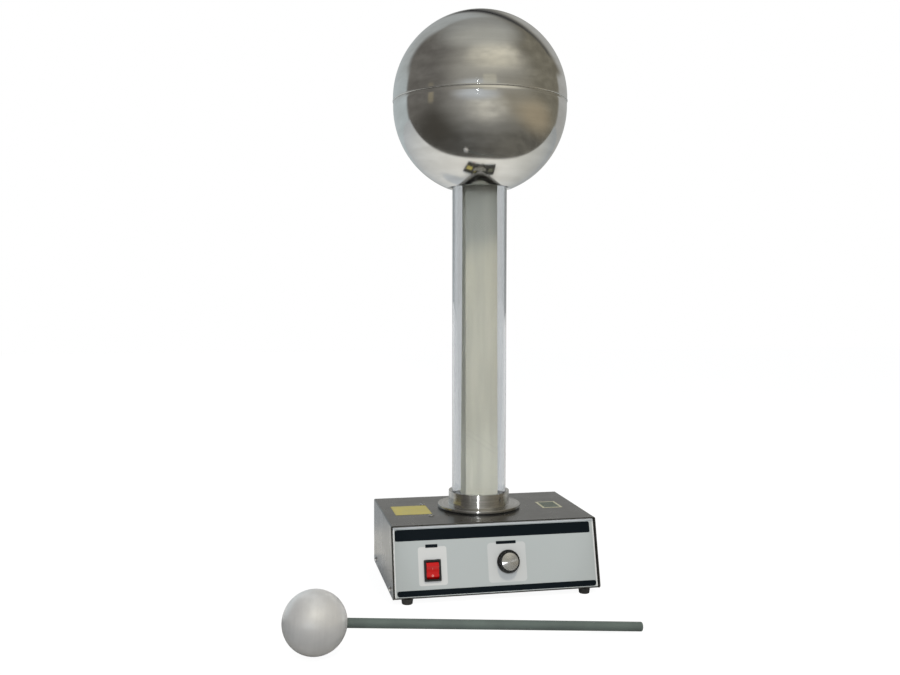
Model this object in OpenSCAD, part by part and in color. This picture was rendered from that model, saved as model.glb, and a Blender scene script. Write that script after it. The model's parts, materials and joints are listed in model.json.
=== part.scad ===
// Van de Graaff generator. A belt in a clear column carries charge from the case up to a hollow
// metal dome, and a discharge wand lies on the table in front of it.
// Millimetres. +Z is up, +X is to the right and +Y to the rear. The origin is on the table, on the
// column's axis.

/* [Case] */
// Width of the case over the cover's sides
case_w = 300; // [280:1:360]
// Depth of the case along its bottom edge
case_d = 214; // [208:1:260]
// Height of the case above its feet
case_h = 98; // [94:1:130]
// How far the front leans back from its bottom edge to its top edge
front_lean = 26; // [12:1:36]
// Distance from the bottom front edge back to the column's axis
column_setback = 128; // [122:1:136]
// Thickness of the tray's and the cover's sheet
sheet_t = 1.5; // [1:0.1:2]
// How far the cover's edges stand proud of the front and rear panels
cover_lip = 4; // [2:0.5:6]
// Outer radius of the sheet's bends
bend_r = 2; // [1:0.5:5]
// Radius of the cover's lower front corners
corner_r = 5; // [3:0.5:10]
// Width of the tray's flanges under the cover
tray_flange = 6.5; // [6:0.5:12]
// Height of the tray's side flanges, which the cover is screwed to
side_flange = 16; // [13:1:24]
// Thickness of the printed overlay on the front panel
overlay_t = 0.5; // [0.2:0.1:1]
// Border of bare sheet left round the overlay
overlay_border = 1.2; // [0.4:0.2:4]
// Thickness of a sticker
sticker_t = 0.2; // [0.1:0.1:0.5]
// Height of a rubber foot
foot_h = 8; // [6:0.5:14]
// Radius of a rubber foot at its top
foot_r = 8.5; // [7.5:0.5:12]
// Distance of the feet from the case's sides
foot_inset_x = 21; // [16:1:40]
// Distance of the feet from the bottom front and rear edges
foot_inset_y = 12; // [12:1:30]
// Number of cooling slots in the rear panel
vent_count = 12; // [4:1:16]
// Width of a cooling slot
vent_w = 3; // [2:0.5:3.5]
// Length of a cooling slot
vent_l = 36; // [20:1:50]
// Distance between cooling slots
vent_pitch = 7; // [5:0.5:8]
// Distance of the cover's front side screws from the bottom front edge
screw_inset_front = 32; // [26:1:60]
// Distance of the cover's rear side screws from the rear
screw_inset_rear = 24; // [16:1:60]
// Width of the large sticker
large_sticker_w = 54; // [30:1:56]
// Depth of the large sticker
large_sticker_d = 58; // [30:1:70]
// Width of the small sticker
small_sticker_w = 31; // [20:1:50]
// Depth of the small sticker
small_sticker_d = 43; // [20:1:60]

/* [Switch] */
// Place of the switch across the panel, from its centre
switch_x = -93; // [-115:1:-60]
// Place of the switch up the sloping panel, from its bottom edge
switch_s = 38.5; // [30:0.5:60]
// Width of the switch's bezel
bezel_w = 24; // [23.8:0.1:30]
// Height of the switch's bezel
bezel_h = 29.6; // [29:0.1:36]
// Thickness of the switch's bezel
bezel_t = 2; // [1:0.1:3]
// Width of the rocker
rocker_w = 17.6; // [14:0.1:18.2]
// Length of the rocker over its ends
rocker_l = 23.2; // [20:0.1:23.4]
// Distance between the rocker's two ridges
rocker_ridge = 14.4; // [12:0.1:18]
// Height of the rocker's ridges above its pivot
rocker_peak = 7.2; // [6:0.1:8]
// Depth of the hollow between the rocker's ridges
rocker_dish = 1.4; // [0.5:0.1:2]
// Tilt of the rocker to either side
rocker_tilt = 11; // [6:0.5:14]
// Radius of the rocker's pivot pins
rocker_pin_r = 1.5; // [1:0.1:2]

/* [Speed control] */
// Place of the knob across the panel, from its centre
knob_x = 16.5; // [-20:0.5:40]
// Place of the knob up the sloping panel, from its bottom edge
knob_s = 45; // [35:0.5:60]
// Radius of the knob's skirt
skirt_r = 16.5; // [15:0.1:20]
// Radius of the knob's grip
grip_r = 14; // [13:0.1:15]
// Height of the knob above the panel
knob_h = 11.2; // [10:0.1:20]
// Radius of the knob's metal cap
knob_cap_r = 12.2; // [8:0.1:12.5]
// Number of flutes round the knob
flute_count = 18; // [12:1:30]
// Radius of the control's shaft
control_shaft_r = 3; // [2:0.1:3.2]
// Radius of the control's body
control_r = 12; // [8:0.5:14]
// Depth of the control's body behind the panel
control_d = 10; // [6:0.5:16]

/* [Column] */
// Outer radius of the clear tube
tube_r = 41; // [38:0.5:42]
// Wall of the clear tube
tube_t = 3; // [2:0.5:4]
// Length of the clear tube
tube_l = 530.5; // [450:0.5:560]
// Radius of the flange's disc
disc_r = 62.5; // [58:0.5:70]
// Thickness of the flange's disc
disc_t = 4; // [4:0.5:6]
// Radius of the collar round the tube's foot
collar_r = 46; // [45:0.5:52]
// Height of the collar above the disc
collar_h = 20; // [12:0.5:40]
// Thickness of the gasket under the disc
gasket_t = 2; // [1:0.5:4]
// Radius of the belt's hole through the cover and the flange
belt_hole_r = 36; // [33:0.5:36.5]
// Depth of the step that the tube stands on
seat_t = 1.5; // [1:0.5:2.5]

/* [Belt and rollers] */
// Width of the belt
belt_w = 48; // [30:1:50]
// Thickness of the belt
belt_t = 1; // [0.6:0.1:1.5]
// Radius of the lower roller at its crown
lower_roller_r = 19; // [16:0.5:22]
// Length of the lower roller
lower_roller_l = 52; // [51:0.5:56]
// Height of the lower roller's axis above the table
lower_axis_z = 56; // [50:0.5:60]
// Radius of the driven axle
lower_axle_r = 4; // [3:0.5:5]
// Radius of the upper roller at its crown
upper_roller_r = 10; // [9:0.5:13]
// Length of the upper roller
upper_roller_l = 52; // [51:0.5:55]
// Height of the upper roller's axis above the top of the tube
upper_axis_rise = 26; // [18:0.5:34]
// Radius of the fixed upper axle
upper_axle_r = 2.5; // [2:0.1:3]
// How much smaller a roller is at its ends than at its crown
roller_crown = 0.5; // [0.2:0.1:0.8]
// Thickness of the plates that carry the lower roller
yoke_t = 8; // [7:0.5:12]
// Thickness of the cheeks that carry the upper roller
cheek_t = 4; // [3:0.5:5]
// Distance from the belt to the points of a comb
comb_gap = 2; // [1:0.5:4]
// Distance between the points of a comb
comb_pitch = 2.4; // [2:0.1:4]
// Height of a comb's points
comb_tooth = 4; // [2:0.5:6]

/* [Motor] */
// Radius of the motor's can
motor_r = 25; // [20:0.5:27]
// Length of the motor's can
motor_l = 62; // [40:1:64]
// Radius of the motor's shaft
motor_shaft_r = 2.5; // [2:0.1:3.5]
// Radius of the coupling
coupling_r = 9; // [8:0.5:12]
// Length of the coupling
coupling_l = 22; // [18:1:24]
// Distance from the column's axis to the motor bracket's upright
bracket_x = 72; // [70:0.5:76]
// Thickness of the motor bracket
bracket_t = 3; // [2:0.5:4]
// Places of the bracket's two screws, front and rear of the column's axis
bracket_screw_y = [-48, 28];

/* [Dome] */
// Outer radius of the dome's lower half
dome_r = 130; // [110:1:150]
// Wall of the dome
dome_t = 1.2; // [1:0.1:2]
// Height of the seam above the top of the tube
seam_rise = 76; // [60:0.5:90]
// Straight part of the dome's lower half below the seam
lower_rim = 6; // [5:0.5:12]
// Straight part of the dome's upper half above the seam
upper_rim = 5; // [4:0.5:12]
// Inner radius of the dome's neck
neck_r = 45; // [43.5:0.5:50]
// Height of the dome's neck above the rolled edge
neck_h = 20; // [14:0.5:26]
// Radius of the rolled edge between the dome and its neck
neck_roll_r = 3; // [2.5:0.5:5]
// Height of the joggled lip inside the seam
lip_h = 6; // [4:0.5:10]

/* [Wand] */
// Place of the ball's centre across the table
ball_x = -267; // [-300:1:-200]
// Distance of the wand in front of the column's axis
wand_setback = 284; // [180:1:320]
// Radius of the wand's ball
ball_r = 39; // [25:0.5:50]
// Wall of the wand's ball
ball_t = 1.5; // [1:0.1:3]
// Distance from the ball's centre to the rod's far end
wand_l = 415; // [300:1:600]
// Radius of the wand's rod
rod_r = 6; // [5.5:0.5:8]
// Radius of the dimple where the rod meets the ball
dimple_r = 9; // [8:0.5:12]
// Depth of that dimple
dimple_d = 9; // [7:0.5:10]

/* [Rear panel] */
// Place of the power inlet across the rear
inlet_x = 98; // [80:1:110]
// Height of the power inlet's centre above the table
inlet_z = 58; // [48:1:66]
// Place of the earth socket across the rear
earth_x = 40; // [20:1:55]
// Height of the earth socket above the table
earth_z = 45; // [30:1:80]
// Radius of the earth socket's bore
earth_bore_r = 2; // [1.8:0.1:2.2]
// Depth of the earth socket's bore
earth_bore_l = 16; // [10:1:22]

/* [Fasteners] */
// Radius of the screws in the case, the flange and the motor bracket
screw_r = 2; // [1.5:0.1:2.3]
// Radius of those screws' heads
screw_head_r = 4; // [3.2:0.1:4.5]
// Height of those screws' heads
screw_head_h = 2.6; // [2:0.1:3.5]
// Radius of the small screws
small_screw_r = 1.5; // [1:0.1:1.6]

/* [Fits] */
// Clearance between a turning shaft and its bearing, on the radius
run_fit = 0.04; // [0.02:0.01:0.08]
// Clearance of a screw in a plain hole, on the radius
hole_fit = 0.15; // [0.1:0.05:0.3]
// Clearance between the tray and the cover, on each side
sheet_fit = 0.3; // [0.1:0.1:0.6]
// Clearance round pieces that slide or lift off, on each side
slide_fit = 0.3; // [0.2:0.1:0.6]
// Gap between the belt and a roller's crown
belt_fit = 0.1; // [0.05:0.05:0.3]

/* [Hidden] */
$fn = 96;
eps = 1;

// Heights of the case
under_z = foot_h + case_h - sheet_t;
top_z = foot_h + case_h;
floor_z = foot_h + sheet_t;
front_y = -column_setback;
rear_y = case_d - column_setback;
lean = atan(front_lean / case_h);

// Tray
tray_w = case_w - 2 * (sheet_t + sheet_fit);
panel_rear_y = rear_y - cover_lip;
panel_front_y = front_y + cover_lip / cos(lean);
side_screw_z = foot_h + 8;
side_screw_y = [front_y + screw_inset_front, rear_y - screw_inset_rear];
foot_x = case_w / 2 - foot_inset_x;
foot_y = [front_y + foot_inset_y, rear_y - foot_inset_y];
foot_bore_r = screw_head_r + 0.3;
foot_bore_h = 4;
foot_taper = 1;
inner_bend_r = max(0, bend_r - sheet_t);
nut_h = 3.2;
vent_x = -86;
vent_z = foot_h + case_h / 2;

// Overlay, between the bend at the panel's foot and the cover's top
panel_foot_s = cover_lip * tan(lean) + bend_r / tan(45 - lean / 2);
panel_head_s = cover_lip * tan(lean) + (case_h - sheet_t) / cos(lean);
overlay_s = [panel_foot_s, panel_head_s - overlay_border];
overlay_x = tray_w / 2 - overlay_border;

// Switch: the housing's cavity holds the rocker, which turns on two pins
cavity_w = rocker_w + 2 * slide_fit;
rocker_waist_h = 3;
cavity_h = 2 * (norm([rocker_l / 2, rocker_waist_h]) + slide_fit);
pivot_depth = 5.5;
pivot_n = overlay_t + bezel_t - pivot_depth;
housing_w = cavity_w + 2 * 1.7;
housing_h = cavity_h + 2 * 1.2;
housing_d = 18;
rocker_base = 2;
rocker_base_l = 17.4;
cavity_floor = 4.6;
tab_w = 6.3;
tab_t = 0.8;
tab_l = 8;

// Speed control
bush_r = 4.6;
bush_top = overlay_t + 3;
knob_gap = 1;
knob_base = overlay_t + knob_gap;
skirt_t = 3;
recess_r = 8.4;
recess_top = overlay_t + 3.8;
cap_t = 1;
flute_r = 1.2;
pot_nut_r = 7;
pot_nut_h = 2.2;

// Column
hole_r = belt_hole_r;
gasket_z = top_z;
disc_z = gasket_z + gasket_t;
disc_top = disc_z + disc_t;
collar_top = disc_top + collar_h;
tube_z = disc_z + seat_t;
tube_top = tube_z + tube_l;
tube_in = tube_r - tube_t;
grub_r = 2;
grub_angles = [30, 150, 270];
grub_z = disc_top + collar_h * 0.55;

// Belt
upper_axis_z = tube_top + upper_axis_rise;
run_l = upper_axis_z - lower_axis_z;
lower_wrap = lower_roller_r + belt_fit;
upper_wrap = upper_roller_r + belt_fit;

// Lower roller, its plates and the drive
roller_gap = 4;
yoke_x = lower_roller_l / 2 + roller_gap;
yoke_out = yoke_x + yoke_t;
yoke_w = 44;
yoke_foot_w = 60;
yoke_foot_t = 8;
yoke_foot_x = 58;
yoke_drop = lower_axis_z - 17;
bearing_r = 11;
bearing_w = 7;
bearing_lip_r = 9;
flange_screw_x = 47;
flange_screw_y = 21;
flange_screw_bite = 3;
axle_end_x = yoke_out + 3;
coupling_x = -yoke_out - 7;
coupling_split = coupling_x - coupling_l * 0.5;
motor_face_x = -bracket_x - bracket_t;
motor_boss_r = 8;
motor_screw_r = 14;
bracket_w = 56;
bracket_foot = 20;
bracket_screw_x = -bracket_x - 10.5;
bracket_foot_y = [bracket_screw_y[0] - 9, bracket_screw_y[1] + 9];
bracket_foot_z = under_z - bracket_t;

// Combs
comb_t = 0.6;
comb_plate = 14;
comb_foot = 16;
comb_bracket_t = 2;
lower_comb_z = lower_axis_z - lower_wrap - belt_t - comb_gap;
upper_comb_z = upper_axis_z + upper_wrap + belt_t + comb_gap;

// Upper yoke
cheek_x = 31;
cheek_w = 24;
ring_t = 6;
spigot_h = 12;
spigot_fit = 0.1;
ring_in = cheek_x;
upper_bearing_r = 6.5;
upper_bearing_w = 4;
bar_z = upper_comb_z + comb_plate;
bar_t = 3;
bar_w = 12;
strap_t = 0.6;
strap_w = 8;
strap_gap = 1.5;
strap_foot = 5;

// Stickers on the cover, by their centres
large_sticker_at = [44 - case_w / 2, -7];
small_sticker_at = [case_w / 2 - 41.5, -8.5];

// Dome: the lower half ends in a neck that stands on the bush round the tube
seam_z = tube_top + seam_rise;
lower_centre_z = seam_z - lower_rim;
upper_centre_z = seam_z + upper_rim;
upper_dome_r = dome_r + 0.3;
roll_x = neck_r + neck_roll_r;
roll_z = lower_centre_z - sqrt(pow(dome_r - neck_roll_r, 2) - pow(roll_x, 2));
roll_dir = unit([roll_x, roll_z - lower_centre_z]);
neck_top = roll_z + neck_h;
neck_wall_r = neck_r + dome_t;
neck_lip_r = tube_r + 0.6;
bush_z = roll_z;
bush_top_z = neck_top - dome_t;
neck_screw_z = neck_top - neck_h * 0.45;
neck_screw_angles = [60, 180, 300];
lip_r = dome_r - dome_t - 0.2;
bead_r = 1.2;

// Rear panel
inlet_w = 50;
inlet_h = 34;
inlet_t = 3;
inlet_body_w = 30;
inlet_body_h = 32;
inlet_body_d = 24;
inlet_screw_x = 20;
recess_w = 24.4;
recess_h = 16.8;
recess_d = 17;
recess_cut = 5;
recess_lift = 6.2;
pin_w = 2;
pin_h = 4;
pin_l = 12;
pin_x = 7;
drawer_w = 22;
drawer_h = 8;
drawer_d = 20;
drawer_drop = 9.4;
drawer_face_t = 1.5;
earth_flange_r = 7;
earth_body_r = 4.5;

// Board
board_w = 72;
board_d = 86;
board_t = 1.6;
board_centre = [case_w / 2 - 56, -14];
standoff_h = 8;
standoff_r = 3.2;
board_inset = 6;
board_z = floor_z + standoff_h;

// Wand
wand_tilt = asin(ball_r / norm([wand_l, rod_r])) - atan(rod_r / wand_l);
dimple_x = sqrt(ball_r * ball_r - dimple_r * dimple_r);
dimple_apex = dimple_x - dimple_d;
dimple_half = atan(dimple_r / dimple_d);
stud_r = 3;
rod_start = ball_r - 1;
rod_bore_l = 14;
rod_round = 1;

function unit(v) = v / norm(v);

// Tangent points and centre of a rounded corner of a polygon
function corner(points, radii, i) =
    let (
        n = len(points),
        p = points[i],
        a = unit(points[(i + n - 1) % n] - p),
        b = unit(points[(i + 1) % n] - p),
        half = acos(a * b) / 2,
        d = radii[i] / tan(half)
    )
    [p + a * d, p + b * d, p + unit(a + b) * radii[i] / sin(half)];

// A polygon whose corners have the given radii, 0 for a sharp one
module rounded_polygon(points, radii) {
    corners = [for (i = [0:len(points) - 1]) corner(points, radii, i)];
    polygon([for (i = [0:len(points) - 1]) each radii[i] > 0 ? [corners[i][0], corners[i][1]] : [points[i]]]);
    for (i = [0:len(points) - 1])
        if (radii[i] > 0)
            translate(corners[i][2]) circle(radii[i]);
}

module rounded_square(w, h, r) {
    rounded_polygon([[-w / 2, -h / 2], [w / 2, -h / 2], [w / 2, h / 2], [-w / 2, h / 2]], [r, r, r, r]);
}

// Extrudes a drawing in the YZ plane along X, about x = 0
module across(w) {
    rotate([90, 0, 90]) linear_extrude(w, center = true) children();
}

// A cylinder along +X that starts at x
module bar_x(x, l, r, n = $fn) {
    translate([x, 0, 0]) rotate([0, 90, 0]) cylinder(h = l, r = r, $fn = n);
}

// A place on the front panel: x across it, s up it from the bottom edge, and +Z out of it
module on_panel(x, s) {
    translate([
        x,
        front_y + cover_lip * cos(lean) + s * sin(lean),
        foot_h - cover_lip * sin(lean) + s * cos(lean)
    ])
    rotate([90 - lean, 0, 0])
    children();
}

// A place on the rear panel's outer face, with +Z out of it and +X to the left of someone behind it
module on_rear(x, z) {
    translate([x, panel_rear_y, z]) rotate([-90, 0, 0]) children();
}

// A pan head on z = 0 with its shank below it, and a cross recess in the head
module pan_screw(r, head_r, head_h, l) {
    difference() {
        union() {
            rotate_extrude() intersection() {
                translate([0, head_h - head_r * 1.25]) circle(head_r * 1.25);
                square([head_r, head_h]);
            }
            translate([0, 0, -l]) cylinder(h = l, r = r);
        }
        for (a = [0, 90])
            rotate([0, 0, a]) translate([-head_r * 0.55, -head_r * 0.11, head_h * 0.45])
                cube([head_r * 1.1, head_r * 0.22, head_h]);
    }
}

// A plain head on z = 0 with a hexagon socket, and its shank below it
module socket_screw(r, head_r, head_h, l) {
    difference() {
        union() {
            cylinder(h = head_h, r = head_r);
            translate([0, 0, -l]) cylinder(h = l, r = r);
        }
        translate([0, 0, head_h * 0.4]) cylinder(h = head_h, r = r * 0.9, $fn = 6);
    }
}

// A hexagon nut on z = 0
module hex_nut(r, across_r, h) {
    difference() {
        cylinder(h = h, r = across_r, $fn = 6);
        translate([0, 0, -eps]) cylinder(h = h + 2 * eps, r = r);
    }
}

// Outline of the case seen from the side, in the YZ plane
module case_side() {
    rounded_polygon(
        [[front_y, foot_h], [rear_y, foot_h], [rear_y, top_z], [front_y + front_lean, top_z]],
        [corner_r, corner_r, 0, 0]
    );
}

// Outline of the tray, shrunk by t on all its sides
module tray_side(t, r) {
    face = t / cos(lean);
    rise = under_z - t - foot_h;
    rounded_polygon(
        [
            [panel_front_y + t * tan(lean) + face, foot_h + t],
            [panel_rear_y - t, foot_h + t],
            [panel_rear_y - t, under_z - t],
            [panel_front_y + rise * tan(lean) + face, under_z - t]
        ],
        [r, r, 0, 0]
    );
}

module foot_places() {
    for (x = [-foot_x, foot_x], y = foot_y)
        translate([x, y, 0]) children();
}

module side_screw_places() {
    for (y = side_screw_y) {
        translate([-case_w / 2, y, side_screw_z]) rotate([0, -90, 0]) children();
        translate([case_w / 2, y, side_screw_z]) rotate([0, 90, 0]) children();
    }
}

module flange_screw_places() {
    for (x = [-flange_screw_x, flange_screw_x], y = [-flange_screw_y, flange_screw_y])
        translate([x, y, 0]) children();
}

module bracket_screw_places() {
    for (y = bracket_screw_y)
        translate([bracket_screw_x, y, top_z]) children();
}

module board_screw_places() {
    for (x = [-1, 1], y = [-1, 1])
        translate([
            board_centre[0] + x * (board_w / 2 - board_inset),
            board_centre[1] + y * (board_d / 2 - board_inset),
            0
        ])
        children();
}

// Folded sheet: floor, sloping front, rear and the flanges that the cover sits on
module base_tray() {
    open_y = [panel_front_y + front_lean + tray_flange, panel_rear_y - tray_flange];
    color("dimgray") difference() {
        union() {
            across(tray_w) difference() {
                tray_side(0, bend_r);
                tray_side(sheet_t, inner_bend_r);
                translate([open_y[0], under_z - sheet_t - eps])
                    square([open_y[1] - open_y[0], sheet_t + 2 * eps]);
            }
            for (side = [-1, 1])
                translate([side * (tray_w - sheet_t) / 2, 0, 0]) across(sheet_t) intersection() {
                    tray_side(0, bend_r);
                    translate([front_y, foot_h]) square([case_d, side_flange]);
                }
        }
        foot_places() translate([0, 0, foot_h - eps]) cylinder(h = sheet_t + 2 * eps, r = screw_r + hole_fit);
        side_screw_places() translate([0, 0, -8]) cylinder(h = 8, r = screw_r);
        on_panel(switch_x, switch_s)
            cube([housing_w + 2 * slide_fit, housing_h + 2 * slide_fit, 6 * sheet_t], center = true);
        on_panel(knob_x, knob_s) cylinder(h = 6 * sheet_t, r = bush_r, center = true);
        on_rear(inlet_x, inlet_z) {
            cube([inlet_body_w + 2 * slide_fit, inlet_body_h + 2 * slide_fit, 6 * sheet_t], center = true);
            for (x = [-inlet_screw_x, inlet_screw_x])
                translate([x, 0, 0]) cylinder(h = 6 * sheet_t, r = small_screw_r, center = true);
        }
        on_rear(earth_x, earth_z) cylinder(h = 6 * sheet_t, r = earth_body_r, center = true);
        for (i = [0:vent_count - 1])
            translate([vent_x + (i - (vent_count - 1) / 2) * vent_pitch, panel_rear_y, vent_z])
                rotate([90, 0, 0]) linear_extrude(4 * sheet_t, center = true)
                    rounded_square(vent_w, vent_l, vent_w * 0.48);
    }
}

// Folded sheet: the top and the two sides
module top_cover() {
    color("#3a3a38") difference() {
        intersection() {
            translate([0, rear_y, 0]) rotate([90, 0, 0]) linear_extrude(case_d) difference() {
                rounded_polygon(
                    [
                        [-case_w / 2, foot_h], [case_w / 2, foot_h],
                        [case_w / 2, top_z], [-case_w / 2, top_z]
                    ],
                    [0, 0, bend_r, bend_r]
                );
                rounded_polygon(
                    [
                        [sheet_t - case_w / 2, foot_h - eps], [case_w / 2 - sheet_t, foot_h - eps],
                        [case_w / 2 - sheet_t, under_z], [sheet_t - case_w / 2, under_z]
                    ],
                    [0, 0, inner_bend_r, inner_bend_r]
                );
            }
            across(case_w + 2 * eps) case_side();
        }
        translate([0, 0, under_z - eps]) cylinder(h = sheet_t + 2 * eps, r = hole_r);
        translate([0, 0, under_z - eps]) flange_screw_places()
            cylinder(h = sheet_t + 2 * eps, r = screw_r + hole_fit);
        bracket_screw_places() translate([0, 0, -sheet_t - eps])
            cylinder(h = sheet_t + 2 * eps, r = screw_r + hole_fit);
        side_screw_places() translate([0, 0, -sheet_t - eps])
            cylinder(h = sheet_t + 2 * eps, r = screw_r + hole_fit);
    }
}

module cover_screws() {
    color("silver") side_screw_places() pan_screw(screw_r, screw_head_r, screw_head_h, 7);
}

// Printed sheet on the front panel, with its two cut-outs
module front_overlay() {
    h = overlay_s[1] - overlay_s[0];
    color("lightgray") difference() {
        on_panel(0, (overlay_s[0] + overlay_s[1]) / 2) linear_extrude(overlay_t)
            rounded_square(2 * overlay_x, h, 1.5);
        on_panel(switch_x, switch_s) cube([housing_w, housing_h, 6 * overlay_t], center = true);
        on_panel(knob_x, knob_s) cylinder(h = 6 * overlay_t, r = bush_r, center = true);
    }
}

// Bezel, hollow body and four blade terminals of the rocker switch
module switch_housing() {
    color("#1a1a1a") on_panel(switch_x, switch_s) {
        difference() {
            union() {
                translate([0, 0, overlay_t]) linear_extrude(bezel_t) rounded_square(bezel_w, bezel_h, 1);
                translate([-housing_w / 2, -housing_h / 2, -housing_d])
                    cube([housing_w, housing_h, housing_d + overlay_t + eps]);
            }
            translate([-cavity_w / 2, -cavity_h / 2, pivot_n - cavity_floor])
                cube([cavity_w, cavity_h, cavity_floor + pivot_depth + eps]);
            translate([0, 0, pivot_n]) bar_x(-housing_w / 2 - eps, housing_w + 2 * eps, rocker_pin_r + run_fit);
        }
        for (x = [-5, 5], s = [-8, 8])
            translate([x - tab_t / 2, s - tab_w / 2, -housing_d - tab_l]) cube([tab_t, tab_w, tab_l]);
    }
}

// The rocker at rest, with its lower end pressed in
module switch_rocker() {
    dish_r = (pow(rocker_ridge / 2, 2) + pow(rocker_dish, 2)) / (2 * rocker_dish);
    pin_l = rocker_w + 2 * (slide_fit + 1.4);
    color("#c01818") on_panel(switch_x, switch_s) translate([0, 0, pivot_n]) rotate([rocker_tilt, 0, 0]) {
        across(rocker_w) difference() {
            polygon([
                [-rocker_ridge / 2, rocker_peak], [-rocker_l / 2, rocker_waist_h],
                [-rocker_base_l / 2, -rocker_base], [rocker_base_l / 2, -rocker_base],
                [rocker_l / 2, rocker_waist_h], [rocker_ridge / 2, rocker_peak]
            ]);
            translate([0, rocker_peak - rocker_dish + dish_r]) circle(dish_r);
        }
        bar_x(-pin_l / 2, pin_l, rocker_pin_r);
    }
}

// Body, threaded bush and three tags of the speed control
module potentiometer() {
    color("#6b6b5a") on_panel(knob_x, knob_s) {
        difference() {
            union() {
                translate([0, 0, -sheet_t - control_d]) cylinder(h = control_d, r = control_r);
                translate([0, 0, -sheet_t - eps]) cylinder(h = bush_top + sheet_t + eps, r = bush_r);
            }
            translate([0, 0, -sheet_t - control_d / 2])
                cylinder(h = control_d + bush_top + sheet_t, r = control_shaft_r + run_fit);
        }
        for (x = [-5, 0, 5])
            translate([x - 0.8, -control_r - 6, -sheet_t - control_d]) cube([1.6, 8, 0.8]);
    }
}

module potentiometer_nut() {
    color("silver") on_panel(knob_x, knob_s) translate([0, 0, overlay_t]) hex_nut(bush_r, pot_nut_r, pot_nut_h);
}

module control_shaft() {
    color("silver") on_panel(knob_x, knob_s) translate([0, 0, -sheet_t - control_d / 2 + 0.5])
        cylinder(h = control_d / 2 - 0.5 + sheet_t + knob_h - 2 * cap_t, r = control_shaft_r);
}

// Skirted knob, hollow underneath, with flutes round its grip and a pointer groove
module speed_knob() {
    color("#151515") on_panel(knob_x, knob_s) difference() {
        union() {
            rotate_extrude() polygon([
                [0, knob_base], [skirt_r, knob_base], [skirt_r, knob_base + skirt_t * 0.5],
                [grip_r + 0.8, knob_base + skirt_t], [0, knob_base + skirt_t]
            ]);
            translate([0, 0, knob_base + eps]) linear_extrude(knob_h - knob_base - eps) difference() {
                circle(grip_r);
                for (i = [1:flute_count - 1])
                    rotate(-120 + i * 360 / flute_count) translate([grip_r + 0.3, 0]) circle(flute_r);
                rotate(-120) translate([grip_r - 0.9, -0.5]) square([2, 1]);
            }
        }
        cylinder(h = recess_top, r = recess_r);
        cylinder(h = knob_h - 2 * cap_t, r = control_shaft_r);
        translate([0, 0, knob_h - cap_t]) cylinder(h = cap_t + eps, r = knob_cap_r);
    }
}

// Turned metal disc set into the knob's face
module knob_cap() {
    color("gainsboro") on_panel(knob_x, knob_s) translate([0, 0, knob_h - cap_t]) rotate_extrude() polygon([
        [0, 0], [knob_cap_r, 0], [knob_cap_r, cap_t + 0.1], [knob_cap_r - 0.4, cap_t + 0.4], [0, cap_t + 0.4]
    ]);
}

// Printed circuit board, drilled for its standoffs
module control_board() {
    color("darkgreen") difference() {
        translate([board_centre[0] - board_w / 2, board_centre[1] - board_d / 2, board_z])
            cube([board_w, board_d, board_t]);
        board_screw_places() translate([0, 0, board_z - eps]) cylinder(h = board_t + 2 * eps, r = small_screw_r);
    }
}

// Capacitors, choke, fuse clip block and terminal block on the board
module board_parts() {
    z = board_z + board_t;
    color("#30407a") translate([board_centre[0], board_centre[1], z]) {
        translate([-18, 22, 0]) cylinder(h = 22, r = 8);
        translate([2, 24, 0]) cylinder(h = 16, r = 5);
        translate([-18, -2, 0]) difference() {
            cylinder(h = 9, r = 11);
            translate([0, 0, -eps]) cylinder(h = 9 + 2 * eps, r = 5);
        }
        translate([10, 6, 0]) cube([9, 18, 14]);
        translate([-24, -34, 0]) for (i = [0:3]) translate([i * 9, 0, 0]) difference() {
            cube([8.6, 11, 12]);
            translate([4.3, 5.5, 5]) cylinder(h = 8, r = 2.4);
        }
    }
}

// Finned heatsink with the power transistor's tab
module heatsink() {
    fins = 6;
    color("silver") translate([board_centre[0] + 20, board_centre[1] - 32, board_z + board_t]) {
        cube([3, 34, 26]);
        for (i = [0:fins - 1]) translate([3, i * 6.4, 0]) cube([9, 2, 26]);
        translate([-4.5, 10, 4]) cube([4.5, 10, 15]);
    }
}

// Pillars under the board, each with a screw down through the board
module board_standoffs() {
    color("gold") board_screw_places() {
        translate([0, 0, floor_z]) cylinder(h = standoff_h, r = standoff_r);
        translate([0, 0, board_z]) cylinder(h = board_t, r = small_screw_r);
        translate([0, 0, board_z + board_t]) cylinder(h = 1.8, r = small_screw_r * 1.8);
    }
}

// Outline of the inlet's recess, with its two cut corners at the top
module inlet_outline(grow = 0) {
    w = recess_w / 2 + grow;
    h = recess_h / 2 + grow;
    polygon([[-w, h], [w, h], [w, recess_cut - h], [w - recess_cut, -h], [recess_cut - w, -h], [-w, recess_cut - h]]);
}

// Fused power inlet: flange, body, recess for the plug and slot for the fuse drawer
module power_inlet() {
    color("#202020") on_rear(inlet_x, inlet_z) difference() {
        union() {
            linear_extrude(inlet_t) rounded_square(inlet_w, inlet_h, 4);
            translate([-inlet_body_w / 2, -inlet_body_h / 2, -inlet_body_d])
                cube([inlet_body_w, inlet_body_h, inlet_body_d + eps]);
        }
        translate([0, -recess_lift, inlet_t - recess_d]) linear_extrude(recess_d + eps) inlet_outline();
        translate([0, drawer_drop, inlet_t - drawer_d - slide_fit]) linear_extrude(drawer_d + slide_fit + eps)
            square([drawer_w + 2 * slide_fit, drawer_h + 2 * slide_fit], center = true);
        for (x = [-inlet_screw_x, inlet_screw_x])
            translate([x, 0, -eps]) cylinder(h = inlet_t + 2 * eps, r = small_screw_r + hole_fit);
    }
}

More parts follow.
